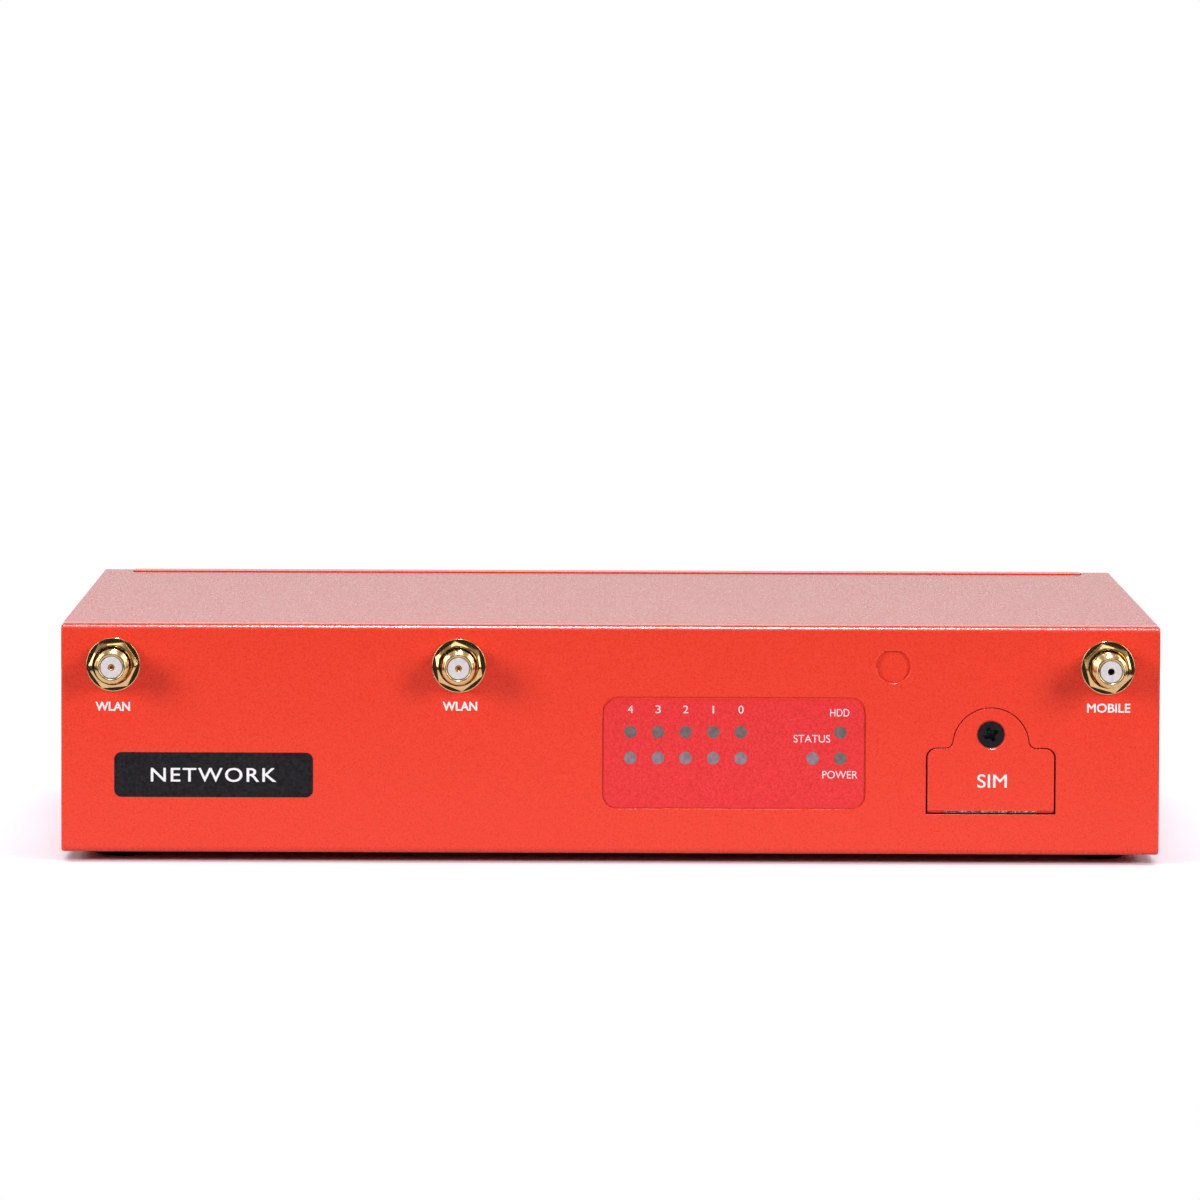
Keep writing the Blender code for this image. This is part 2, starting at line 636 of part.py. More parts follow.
def add_rj45(name, x):
    jack = rear_block(name, x, RJ45_SIZE, **NICKEL)
    y_low, y_high = CASE_DEPTH + JACK_PROUD - 13 * MM, CASE_DEPTH + SHEET
    mouth, notch, low = 5.95 * MM, 3.2 * MM, ON_BOARD + 2.2 * MM
    outline = [(-notch, 0), (notch, 0), (notch, 2.1 * MM), (mouth, 2.1 * MM), (mouth, 9.3 * MM),
               (-mouth, 9.3 * MM), (-mouth, 2.1 * MM), (-notch, 2.1 * MM)]
    cut(jack, prism_y([(x + dx, low + dz) for dx, dz in outline], y_low, y_high))


def add_usb():
    jack = rear_block("usb_jack", USB_X, USB_SIZE, **NICKEL)
    back = CASE_DEPTH + JACK_PROUD
    for low in (ON_BOARD + 1.4 * MM, ON_BOARD + 9.2 * MM):
        mouth = box((USB_X - 6.3 * MM, back - 12 * MM, low), (USB_X + 6.3 * MM, back + SHEET, low + 5.2 * MM))
        tongue_low = low + 2.6 * MM
        cut(jack, mouth)
        join(jack, box((USB_X - 5.5 * MM, back - 13 * MM, tongue_low),
                       (USB_X + 5.5 * MM, back - 1.5 * MM, tongue_low + 1.8 * MM)))


def add_video_jack():
    jack = rear_block("video_jack", VIDEO_X, VIDEO_SIZE, **NICKEL)
    back = CASE_DEPTH + JACK_PROUD
    outline = [(-5.2, 0), (5.2, 0), (7.0, 1.7), (7.0, 4.5), (-7.0, 4.5), (-7.0, 1.7)]
    low = ON_BOARD + 0.7 * MM
    cut(jack, prism_y([(VIDEO_X + dx * MM, low + dz * MM) for dx, dz in outline], back - 9 * MM, back + SHEET))
    join(jack, box((VIDEO_X - 5.5 * MM, back - 10 * MM, low + 2.0 * MM),
                   (VIDEO_X + 5.5 * MM, back - 1.5 * MM, low + 3.0 * MM)))


def add_dc_inlet():
    inlet = rear_block("dc_inlet", DC_X, DC_SIZE, colour=BLACK, roughness=0.5)
    back, z = CASE_DEPTH + JACK_PROUD, ON_BOARD + 5.5 * MM
    cut(inlet, rod(DC_X, z, 3.2 * MM, back - 10 * MM, back + SHEET, 20))
    join(inlet, rod(DC_X, z, 1.25 * MM, back - 11 * MM, back - 1 * MM, 12))


def add_push_button(name, x, radius, height, back, housing, travel_room):
    """A switch housing on the mainboard, open at the back, and the cap that slides in it."""
    z = ON_BOARD + height
    half = housing / 2
    low, high = (x - half, back - 9 * MM, ON_BOARD), (x + half, back - travel_room, z + half)
    mouth = rod(x, z, radius + 0.25 * MM, back - 7 * MM, back + SHEET, 20)
    cut(piece(f"{name}_switch", box(low, high), (x, low[1], ON_BOARD), colour=BLACK, roughness=0.5), mouth)
    cap = [(0, 0), (radius, 0), (radius, 4.2 * MM), (radius - 0.3 * MM, 4.5 * MM), (0, 4.5 * MM)]
    at = (x, back - 4.5 * MM, z)
    piece(f"{name}_button", turned(cap, 20, facing_back(*at)), at, 40, colour=BLACK, roughness=0.45)


def add_buttons():
    add_push_button("power", POWER_X, 3.2 * MM, 5 * MM, CASE_DEPTH + BUTTON_PROUD, 9 * MM, 3.2 * MM)
    add_push_button("reset", RESET_X, 0.75 * MM, 3 * MM, CASE_DEPTH - SHEET - 0.4 * MM, 5 * MM, 1.2 * MM)


# --- Inside ------------------------------------------------------------------------------------

def add_mainboard():
    board = piece("mainboard", box((BOARD_X[0], BOARD_Y[0], BOARD_BOTTOM), (BOARD_X[1], BOARD_Y[1], BOARD_TOP)),
                  (0, 0, BOARD_BOTTOM), **BOARD_FINISH)
    bed = BOARD_TOP - 0.4 * MM
    soldered = {"processor": ((10, 80), (34, 104), 1.8), "memory_socket": ((-36, 66.4), (36, 72), 5.0),
                "storage_socket": ((-84, 121.4), (-56, 126), 5.0), "wlan_socket": ((-39, 121.4), (-11, 126), 5.0),
                "mobile_socket": ((58, 93.4), (86, 98), 5.0), "coil": ((50, 106), (60, 116), 5.0),
                "capacitor_bank": ((66, 106), (80, 114), 8.0)}
    for low, high, height in soldered.values():
        join(board, box((low[0] * MM, low[1] * MM, bed), (high[0] * MM, high[1] * MM, BOARD_TOP + height * MM)))
    holes = bmesh.new()
    for x, y in BOARD_SCREWS:
        post(x, y, M3_HOLE, 0, BOARD_TOP + SHEET, 12, holes)
    cut(board, holes)


def add_board_screws():
    names = ("left_front", "left_rear", "right_front", "right_rear")
    profile = [(0, -5.0), (1.2, -5.0), (1.45, -4.6), (1.45, 0.2), (2.75, 0.2), (2.75, 1.5), (2.0, 2.2), (0, 2.2)]
    for name, (x, y) in zip(names, BOARD_SCREWS):
        at = (x, y, BOARD_TOP)
        place = Matrix.Translation(at)
        screw = piece(f"board_screw_{name}", turned([(r * MM, h * MM) for r, h in profile], 16, place),
                      at, 40, **NICKEL)
        top = Matrix.Translation((x, y, BOARD_TOP + 2.2 * MM))
        cut(screw, *cross_recess(top, 2.8 * MM, 1.0 * MM))


def add_heatsink():
    """A finned block over the processor."""
    x, width, base, fin, fins = 22 * MM, 46 * MM, 3.5 * MM, 1.4 * MM, 9
    low, top = BOARD_TOP + 1.8 * MM + GAP, BOARD_TOP + 24 * MM
    pitch = (width - fin) / (fins - 1)
    outline = [(x - width / 2, low)]
    for i in range(fins):
        left = x - width / 2 + i * pitch
        if i:
            outline.append((left, low + base))
        outline += [(left, top), (left + fin, top)]
        if i < fins - 1:
            outline.append((left + fin, low + base))
    outline.append((x + width / 2, low))
    piece("heatsink", prism_y(outline, 75 * MM, 118 * MM), (x, 92 * MM, low),
          colour=(0.5, 0.51, 0.52), roughness=0.4, metallic=1.0)


def add_module(name, low, high, z, chips):
    """A plug-in board lying flat, with its chips or shield cans."""
    thick, bed = 1.0 * MM, 0.3 * MM
    board = piece(name, box((low[0] * MM, low[1] * MM, z), (high[0] * MM, high[1] * MM, z + thick)),
                  (low[0] * MM, low[1] * MM, z), **BOARD_FINISH)
    for chip_low, chip_high, height in chips:
        join(board, box((chip_low[0] * MM, chip_low[1] * MM, z + thick - bed),
                        (chip_high[0] * MM, chip_high[1] * MM, z + thick + height * MM)))


def add_modules():
    z = BOARD_TOP + 3.0 * MM
    memory_chips = [((-31 + 16 * i, 44), (-19 + 16 * i, 56), 1.0) for i in range(4)]
    add_module("memory_module", (-33.8, 36), (33.8, 66), z, memory_chips)
    add_module("storage_module", (-85, 70), (-55, 121), z, [((-80, 78), (-60, 92), 1.2), ((-80, 98), (-60, 112), 1.2)])
    add_module("wlan_module", (-40, 75), (-10, 121), z, [((-37, 84), (-13, 112), 1.6)])
    add_module("mobile_module", (57, 42), (87, 93), z, [((60, 52), (84, 84), 1.8)])


def add_coin_cell():
    at = (-70 * MM, 46 * MM, ON_BOARD + 1.0 * MM)
    profile = [(0, 0), (8.6, 0), (9.0, 0.4), (10.0, 0.6), (10.0, 3.2), (0, 3.2)]
    points = [(r * MM, h * MM) for r, h in profile]
    piece("coin_cell", turned(points, 24, Matrix.Translation(at)), at, 40, **NICKEL)


def smooth_route(points, steps=4):
    """Points on a Catmull-Rom curve through the given ones."""
    ends = [points[0] * 2 - points[1]] + points + [points[-1] * 2 - points[-2]]
    route = []
    for a, b, c, d in zip(ends, ends[1:], ends[2:], ends[3:]):
        for i in range(steps):
            t = i / steps
            route.append(0.5 * (2 * b + (c - a) * t + (2 * a - 5 * b + 4 * c - d) * t ** 2
                                + (3 * b - a - 3 * c + d) * t ** 3))
    return route + [points[-1]]


def add_pigtail(name, stops):
    """A thin coaxial lead from an antenna jack to its module."""
    curve = bpy.data.curves.new(name, "CURVE")
    curve.dimensions = "3D"
    curve.bevel_depth = 0.7 * MM
    curve.bevel_resolution = 1
    curve.use_fill_caps = True
    route = smooth_route([Vector(stop) * MM for stop in stops])
    spline = curve.splines.new("POLY")
    spline.points.add(len(route) - 1)
    for point, place in zip(spline.points, route):
        point.co = (*place, 1)
    obj = bpy.data.objects.new(name, curve)
    bpy.context.scene.collection.objects.link(obj)
    obj.parent = FRAME
    paint(obj, colour=(0.02, 0.02, 0.02), roughness=0.5)


def add_pigtails():
    jack_z = ANTENNA_Z / MM
    add_pigtail("wlan_left_pigtail", [(-95, 10.2, jack_z), (-95, 20, 35.5), (-90, 36, 30), (-66, 60, 24),
                                      (-48, 74, 20), (-35, 79, 16), (-33, 81, 14.2)])
    add_pigtail("wlan_middle_pigtail", [(-29, 10.2, jack_z), (-29, 22, 35.3), (-32, 40, 30), (-30, 58, 23),
                                        (-20, 72, 18), (-17, 79, 15), (-17, 81, 14.2)])
    add_pigtail("mobile_pigtail", [(95, 10.2, jack_z), (95, 18, 35), (92, 28, 29), (84, 38, 21),
                                   (80, 45, 16), (80, 48.5, 14.2)])


def build():
    add_chassis()
    add_cover()
    add_cover_screws()
    add_feet()
    for name, (x, proud) in ANTENNAS.items():
        add_antenna(name, x, proud)
    add_label()
    add_light_pipe("port_light_pipe", PORT_LAMPS)
    add_light_pipe("status_light_pipe", STATUS_LAMPS)
    add_sim_door()
    add_door_screw()
    add_sim_bracket()
    add_sim_socket()
    add_sim_card()
    for port, x in enumerate(LAN_X):
        add_rj45(f"lan_jack_{port}", x)
    add_rj45("console_jack", CONSOLE_X)
    add_usb()
    add_video_jack()
    add_dc_inlet()
    add_buttons()
    add_mainboard()
    add_board_screws()
    add_heatsink()
    add_modules()
    add_coin_cell()
    add_pigtails()


clear_scene()
FRAME = add_case_frame()
build()
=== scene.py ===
"""Looks of the desktop firewall appliance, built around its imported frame.

Meshes are modelled in case coordinates, in millimetres: x from the middle of the case, y the depth
behind its front plane, z the height above its underside. TO_WORLD turns them into the row frame.
"""

import math

import bmesh
import bpy
from mathutils import Matrix, Vector


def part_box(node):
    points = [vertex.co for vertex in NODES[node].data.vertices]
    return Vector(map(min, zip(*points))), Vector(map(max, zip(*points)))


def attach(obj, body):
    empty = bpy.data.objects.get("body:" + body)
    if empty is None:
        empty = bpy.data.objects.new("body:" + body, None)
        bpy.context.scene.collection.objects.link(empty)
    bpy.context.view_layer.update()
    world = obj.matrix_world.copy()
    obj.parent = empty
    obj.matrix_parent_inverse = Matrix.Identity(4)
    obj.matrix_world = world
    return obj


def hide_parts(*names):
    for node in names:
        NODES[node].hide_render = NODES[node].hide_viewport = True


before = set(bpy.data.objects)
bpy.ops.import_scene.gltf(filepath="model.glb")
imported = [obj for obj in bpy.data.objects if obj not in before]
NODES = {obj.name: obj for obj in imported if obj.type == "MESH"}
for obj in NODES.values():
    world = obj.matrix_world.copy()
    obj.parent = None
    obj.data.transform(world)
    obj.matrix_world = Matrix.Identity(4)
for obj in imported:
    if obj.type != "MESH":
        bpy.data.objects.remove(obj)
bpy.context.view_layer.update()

MM = 0.001
CASE_LOW, CASE_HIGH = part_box("chassis")
TO_WORLD = Matrix.Translation((0, CASE_LOW.y, CASE_LOW.z)) @ Matrix.Scale(MM, 4)

# Case, in millimetres
HALF = 105.0
DEPTH = 150.0
HEIGHT = 43.8
SHEET = 1.0
BEND = 1.4
SIDE_EDGE = 0.45
GAP = 0.3
PAN_DEPTH = 20.0
FRONT_RIM = 6.0
REAR_RIM = 7.0
REAR_RIM_HALF = 98.5
REAR_RIM_PROUD = 0.25
SIDE_FLANGE = 9.0
BEND_STEPS = 10

# Front panel
ANTENNA_Z = 36.0
THREAD = 3.175
# Each jack's x, how far it stands proud of the front, and the turn of its nut in degrees
ANTENNAS = {"wlan_left": (-95.0, 7.6, 5), "wlan_middle": (-29.0, 7.6, 38), "mobile": (95.0, 10.0, 44)}
KNOCK_OUT = (54.0, 36.15)
KNOCK_OUT_RADIUS = 3.2
KNOCK_OUT_FLAT = 2.8
KNOCK_OUT_DEPTH = 0.75
LABEL_CENTRE = (23.65, 19.4)
LABEL_SIZE = (50.1, 21.2)
LABEL_CORNER = 2.7
FILM_CENTRE = (23.55, 19.26)
FILM_SIZE = (49.85, 20.75)
INK_DEPTH = 0.02
LABEL_FRONT = 0.2
LABEL_BACK = 0.38
POCKET_DEPTH = 0.4
LAMP_RADIUS = 1.2
LAMP_ROWS = (23.4, 18.4)
PORT_LAMPS_X = [3.8 + 5.28 * i for i in range(5)]
STATUS_LAMPS = [(43.95, LAMP_ROWS[0]), (38.65, LAMP_ROWS[1]), (43.95, LAMP_ROWS[1])]

# SIM door
DOOR_X = 72.75
DOOR_HALF = 12.1
DOOR_BOTTOM = 8.5
DOOR_SHOULDER = 20.4
DOOR_SHOULDER_RADIUS = 1.8
DOOR_FILLET = 1.5
DOOR_DOME = 7.25
DOOR_DOME_Z = 20.9
DOOR_GAP = 0.16
TONGUE_HALF = 8.9
TONGUE_BOTTOM = 7.98
TONGUE_REACH = 2.4
TONGUE_HOOK = 5.8
WINDOW_BOTTOM = 7.8
DOOR_SCREW_Z = 23.1

# Rear panel
ON_BOARD = 9.9
JACK_BACK = DEPTH + 0.6
LAN_X = [50.0 - 17.0 * i for i in range(5)]
CONSOLE_X = -40.0
USB_X = -59.0
VIDEO_X = -79.0
DC_X = 88.0
POWER_X = 71.0
RESET_X = -93.0
POWER_HEIGHT = 5
RESET_HEIGHT = 3
RJ45_SIZE = (16.0, 21.0, 13.4)
USB_SIZE = (14.6, 17.6, 15.8)
VIDEO_SIZE = (15.0, 12.0, 5.9)
DC_SIZE = (10.0, 14.0, 11.0)

# Fasteners
COUNTERSINK = 2.85
SCREW_SHANK = 1.45
COVER_SCREWS = {"left_front": (-1, 30.0), "left_rear": (-1, 120.0), "right_front": (1, 30.0),
                "right_rear": (1, 120.0)}
COVER_SCREW_Z = 5.4
BOARD_SCREWS = [(x, y) for x in (-88.0, 88.0) for y in (16.0, 116.0)]


def turn_z(degrees):
    return Matrix.Rotation(math.radians(degrees), 4, "Z")


# Matrices that lay +Z along the way each side of the case faces
TOWARDS = {"front": Matrix.Rotation(math.radians(90), 4, "X")}
for side_name, quarter_turns in (("right", 1), ("back", 2), ("left", 3)):
    TOWARDS[side_name] = turn_z(90 * quarter_turns) @ TOWARDS["front"]


# --- Materials ---

class Shader:
    """A Principled material with short ways to add procedural detail."""

    def __init__(self, name, slot, roughness=0.5, metallic=0.0, **constants):
        self.material = bpy.data.materials.new(name)
        self.material.use_nodes = True
        if slot:
            self.material["slot"] = slot
        self.tree = self.material.node_tree
        self.bsdf = self.tree.nodes["Principled BSDF"]
        self.bsdf.inputs["Roughness"].default_value = roughness
        self.bsdf.inputs["Metallic"].default_value = metallic
        for socket, value in constants.items():
            self.bsdf.inputs[socket.replace("_", " ")].default_value = value
        self.place = self.tree.nodes.new("ShaderNodeTexCoord").outputs["Object"]
        self.normal = None

    def add(self, kind, links=None, **values):
        node = self.tree.nodes.new(kind)
        for key, value in values.items():
            if key in node.inputs:
                node.inputs[key].default_value = value
            else:
                setattr(node, key, value)
        for key, output in (links or {}).items():
            self.tree.links.new(output, node.inputs[key])
        return node

    def stretched(self, x, y, z):
        return self.add("ShaderNodeMapping", {"Vector": self.place}, Scale=(x, y, z)).outputs["Vector"]

    def noise(self, size, detail=2.0, place=None):
        """Noise whose blobs are about this many millimetres across, as a number from 0 to 1."""
        node = self.add("ShaderNodeTexNoise", {"Vector": place or self.place}, Scale=1 / (size * MM),
                        Detail=detail)
        return node.outputs["Fac"]

    def cells(self, size):
        node = self.add("ShaderNodeTexVoronoi", {"Vector": self.place}, Scale=1 / (size * MM))
        return node.outputs["Distance"]

    def ramp(self, factor, *stops):
        """A colour or grey for each (position, value) stop."""
        node = self.add("ShaderNodeValToRGB", {"Fac": factor})
        elements = node.color_ramp.elements
        while len(elements) < len(stops):
            elements.new(0.5)
        for element, (position, value) in zip(elements, stops):
            element.position = position
            element.color = (*value, 1) if isinstance(value, tuple) else (value, value, value, 1)
        return node.outputs["Color"]

    def colour(self, output):
        self.tree.links.new(output, self.bsdf.inputs["Base Color"])

    def rough(self, factor, low, high):
        ranged = self.add("ShaderNodeMapRange", {"Value": factor})
        ranged.inputs["To Min"].default_value = low
        ranged.inputs["To Max"].default_value = high
        self.tree.links.new(ranged.outputs["Result"], self.bsdf.inputs["Roughness"])

    def bump(self, height, depth):
        """Relief of this many millimetres, on top of any relief added before."""
        links = {"Height": height}
        if self.normal:
            links["Normal"] = self.normal
        node = self.add("ShaderNodeBump", links, Strength=1.0, Distance=depth * MM)
        self.normal = node.outputs["Normal"]
        self.tree.links.new(self.normal, self.bsdf.inputs["Normal"])


def powder_coat():
    """Thermoset powder coat: a fine pebbled skin over a soft orange peel."""
    shader = Shader("powder_coat", "red_powder_coat", Specular_IOR_Level=0.5)
    pebbles = shader.noise(0.45, 1.5)
    grain = shader.noise(0.34, 1.0, shader.stretched(1, 0.2, 1))
    shader.colour(shader.ramp(grain, (0.3, (0.765, 0.042, 0.019)), (0.7, (0.825, 0.050, 0.023))))
    shader.rough(grain, 0.16, 0.44)
    shader.bump(shader.noise(1.5, 1.0), 0.045)
    shader.bump(pebbles, 0.040)
    return shader.material


def worn_edge():
    """Powder coat rubbed through to the sheet in grey specks, which are wear; the near-black and dark
    red-brown around them are painted shade on the folded edge.
    """
    shader = Shader("worn_edge", "red_powder_coat")
    specks = shader.noise(0.28, 3.0)
    shader.colour(shader.ramp(specks, (0.42, (0.04, 0.02, 0.02)), (0.52, (0.20, 0.10, 0.09)),
                              (0.64, (0.50, 0.45, 0.45))))
    shader.rough(specks, 0.6, 0.3)
    shader.bump(specks, 0.04)
    return shader.material


def mottled(name, slot, blobs, colours, rough, relief=0.0, grain=None, ends=(0.3, 0.7), **constants):
    """A surface whose colour and polish drift together.

    blobs is the (size, detail) of the noise that they follow, and its numbers at the two ends have the two
    colours. The relief, in millimetres, follows the noise of the grain, or the same one if there is none.
    """
    shader = Shader(name, slot, **constants)
    drift = shader.noise(*blobs)
    shader.colour(shader.ramp(drift, *zip(ends, colours)))
    shader.rough(drift, *rough)
    if relief:
        shader.bump(shader.noise(*grain) if grain else drift, relief)
    return shader.material


def lamp_window(name, dark, light):
    """Smoked, lightly frosted film over an unlit lamp."""
    return mottled(name, "label_film", (0.9, 3.0), (dark, light), (0.35, 0.5), 0.004, (0.2, 2.0),
                   (0.35, 0.65), Specular_IOR_Level=0.5)


def gold_plate(name, dull, shiny, deep=(0.80, 0.53, 0.22), pale=(0.93, 0.68, 0.34)):
    """Gold over nickel, its polish a little uneven."""
    return mottled(name, "gold_plate", (0.8, 4.0), (deep, pale), (dull, shiny), 0.004, (0.5, 3.0),
                   metallic=1.0)


def printed(name, dark, light):
    """Screen-printed ink, a little uneven."""
    return mottled(name, None, (0.5, 3.0), (dark, light), (0.4, 0.55), 0.004, Specular_IOR_Level=0.12)


def brushed(name, slot, dark, light, rough, stretch=(1, 12, 1)):
    """Metal with fine lines along one direction."""
    shader = Shader(name, slot, metallic=1.0)
    lines = shader.noise(1.2, 3.0, shader.stretched(*[12.0 / s for s in stretch]))
    shader.colour(shader.ramp(lines, (0.3, dark), (0.7, light)))
    shader.rough(lines, *rough)
    shader.bump(lines, 0.003)
    return shader.material


def moulded(name, slot, dark, light, rough=(0.4, 0.55)):
    """Plastic from a lightly eroded mould."""
    shader = Shader(name, slot)
    grain = shader.noise(0.35, 3.0)
    shader.colour(shader.ramp(shader.noise(3.0, 2.0), (0.3, dark), (0.7, light)))
    shader.rough(grain, *rough)
    shader.bump(grain, 0.008)
    return shader.material


def board_mask():
    """Solder mask over copper tracks, with plated holes."""
    shader = Shader("board_mask", "board_mask", Coat_Weight=0.3)
    mask, lighter_mask, track = (0.006, 0.055, 0.026, 1), (0.009, 0.075, 0.036, 1), (0.020, 0.130, 0.060, 1)
    tracks = shader.add("ShaderNodeTexBrick", {"Vector": shader.place}, Scale=90.0, Color1=mask,
                        Color2=lighter_mask, Mortar=track)
    tracks.inputs["Mortar Size"].default_value = 0.03
    holes = shader.ramp(shader.cells(2.6), (0.10, 1.0), (0.14, 0.0))
    mixed = shader.add("ShaderNodeMixRGB", {"Fac": holes, "Color1": tracks.outputs["Color"]},
                       Color2=(0.42, 0.36, 0.20, 1))
    shader.colour(mixed.outputs["Color"])
    shader.rough(holes, 0.45, 0.3)
    shader.bump(tracks.outputs["Fac"], 0.03)
    return shader.material


STEEL_DARK, STEEL_LIGHT = (0.50, 0.49, 0.47), (0.66, 0.65, 0.63)
PAINT = powder_coat()
WORN_AND_SHADED = worn_edge()
FILM = mottled("label_film", "label_film", (0.32, 1.0),
               ((0.66, 0.022, 0.024), (0.83, 0.040, 0.042)), (0.36, 0.48), 0.012, Specular_IOR_Level=0.45)
WINDOW = lamp_window("lamp_window", (0.125, 0.098, 0.098), (0.180, 0.148, 0.148))
# A lighter copy of the same smoked film: painted light, standing in for light seen through the light pipe
# behind the lower row of lamps
PAINTED_LIGHT_WINDOW = lamp_window("painted_light_lamp_window", (0.200, 0.158, 0.180), (0.270, 0.215, 0.255))
PIPE = mottled("light_pipe", "light_pipe", (2.0, 2.0),
               ((0.70, 0.72, 0.72), (0.82, 0.84, 0.84)), (0.12, 0.3), IOR=1.49, Transmission_Weight=0.6)
GOLD = gold_plate("gold_plate", 0.24, 0.12)
POLISHED_GOLD = gold_plate("polished_gold", 0.14, 0.06)
# A near-black copy of the gold: painted shade for the inside of the mobile jack's socket
SHADED_SOCKET_GOLD = gold_plate("shaded_socket_gold", 0.5, 0.4, (0.10, 0.045, 0.015), (0.20, 0.10, 0.035))
CONTACT_GOLD = gold_plate("contact_gold", 0.42, 0.32, (0.78, 0.36, 0.09), (0.95, 0.50, 0.15))
PTFE = mottled("white_ptfe", "white_ptfe", (0.9, 3.0),
               ((0.62, 0.57, 0.59), (0.70, 0.66, 0.67)), (0.4, 0.55), 0.004, (0.25, 2.0),
               Subsurface_Weight=0.15, Subsurface_Scale=0.002)
BLACK_STEEL = mottled("black_screw", "black_screw", (0.16, 3.0),
                      ((0.006, 0.006, 0.008), (0.022, 0.022, 0.027)), (0.28, 0.5), 0.012,
                      ends=(0.35, 0.75), metallic=0.3, Specular_IOR_Level=0.35)
RUBBER = mottled("rubber", "rubber", (0.8, 4.0),
                 ((0.010, 0.010, 0.011), (0.022, 0.021, 0.021)), (0.65, 0.85), 0.010, (0.3, 3.0),
                 (0.3, 0.8), Specular_IOR_Level=0.3)
PLATED = brushed("plated_steel", "plated_steel", STEEL_DARK, STEEL_LIGHT, (0.22, 0.36))
# A near-black copy of the plated steel: painted shade, so that the SIM bracket seen through the door's gap
# looks dark
SHADE_DARK_STEEL = brushed("shade_dark_plated_steel", "plated_steel", (0.06, 0.055, 0.05), (0.10, 0.095, 0.09),
                     (0.5, 0.7))
BRIGHT = brushed("bright_steel", "bright_steel", STEEL_DARK, STEEL_LIGHT, (0.16, 0.28), (12, 1, 1))
ALUMINIUM = brushed("heatsink_aluminium", "heatsink_aluminium", (0.40, 0.41, 0.42), (0.55, 0.56, 0.57),
                    (0.32, 0.46))
BLACK_PLASTIC = moulded("black_plastic", "black_plastic", (0.010, 0.010, 0.011), (0.020, 0.020, 0.021))
CARD_PLASTIC = moulded("card_plastic", "card_plastic", (0.70, 0.70, 0.68), (0.80, 0.80, 0.78))
JACKET = moulded("cable_jacket", "cable_jacket", (0.012, 0.012, 0.012), (0.026, 0.026, 0.026), (0.35, 0.5))
MASK = board_mask()
WHITE_INK = printed("white_ink", (0.78, 0.77, 0.80), (0.88, 0.87, 0.90))
PINK_INK = printed("pale_ink", (0.74, 0.62, 0.66), (0.84, 0.74, 0.78))
BLACK_INK = printed("black_ink", (0.008, 0.008, 0.009), (0.022, 0.021, 0.023))


# --- Mesh toolkit ---

# Faces whose areas differ by less than this, in square metres, lead their corners' normals equally
SAME_AREA = 2e-8


def new_object(name, data):
    obj = bpy.data.objects.new(name, data)
    bpy.context.scene.collection.objects.link(obj)
    return obj


def object_from(name, bm):
    """A bmesh in case coordinates becomes an object in the row frame."""
    bmesh.ops.recalc_face_normals(bm, faces=bm.faces)
    mesh = bpy.data.meshes.new(name)
    bm.to_mesh(mesh)
    bm.free()
    mesh.transform(TO_WORLD)
    return new_object(name, mesh)


def piece(name, bm, material, replaces=(), body="case", sharp=32):
    """A finished piece of the object: its faces smooth except across edges sharper than an angle."""
    obj = object_from(name, bm)
    obj.data.materials.append(material)
    obj.data.shade_smooth()
    obj.data.set_sharp_from_angle(angle=math.radians(sharp))
    weighted = obj.modifiers.new("flat_faces_lead", "WEIGHTED_NORMAL")
    weighted.keep_sharp = True
    weighted.weight = 80
    weighted.thresh = SAME_AREA
    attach(obj, body)
    if replaces:
        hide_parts(*replaces)
    return obj


def remade(node, bm, material, body="case", sharp=32):
    """A finer piece that stands in for one node."""
    return piece(f"{node}_fine", bm, material, [node], body, sharp)


def evaluated_bmesh(obj):
    bpy.context.view_layer.update()
    evaluated = obj.evaluated_get(bpy.context.evaluated_depsgraph_get())
    bm = bmesh.new()
    bm.from_mesh(evaluated.to_mesh())
    evaluated.to_mesh_clear()
    return bm


def boolean(bm, operation, tools):
    """The bmesh after one Boolean for each tool."""
    target = object_from("working", bm)
    helpers = [object_from("helper", tool) for tool in tools]
    for helper in helpers:
        modifier = target.modifiers.new("boolean", "BOOLEAN")
        modifier.operation = operation
        modifier.object = helper
    result = evaluated_bmesh(target)
    bmesh.ops.transform(result, matrix=TO_WORLD.inverted(), verts=result.verts)
    for obj in [target, *helpers]:
        mesh = obj.data
        bpy.data.objects.remove(obj)
        bpy.data.meshes.remove(mesh)
    return result


def cut(bm, *tools):
    return boolean(bm, "DIFFERENCE", tools)


def join(bm, *tools):
    return boolean(bm, "UNION", tools)


def merged(*parts):
    """Several bmeshes as one, with nothing welded."""
    whole = bmesh.new()
    for part in parts:
        bmesh.ops.recalc_face_normals(part, faces=part.faces)
        mesh = bpy.data.meshes.new("part")
        part.to_mesh(mesh)
        part.free()
        whole.from_mesh(mesh)
        bpy.data.meshes.remove(mesh)
    return whole


def placed(bm, place):
    bmesh.ops.transform(bm, matrix=place, verts=bm.verts)
    return bm


def box(low, high):
    bm = bmesh.new()
    size = [b - a for a, b in zip(low, high)]
    middle = [(a + b) / 2 for a, b in zip(low, high)]
    bmesh.ops.create_cube(bm, size=1, matrix=Matrix.Translation(middle) @ Matrix.Diagonal((*size, 1)))
    return bm


def rounded_box(low, high, radius, segments=3):
    bm = box(low, high)
    bmesh.ops.bevel(bm, geom=list(bm.edges), offset=radius, segments=segments, profile=0.5,
                    affect="EDGES", clamp_overlap=True)
    return bm


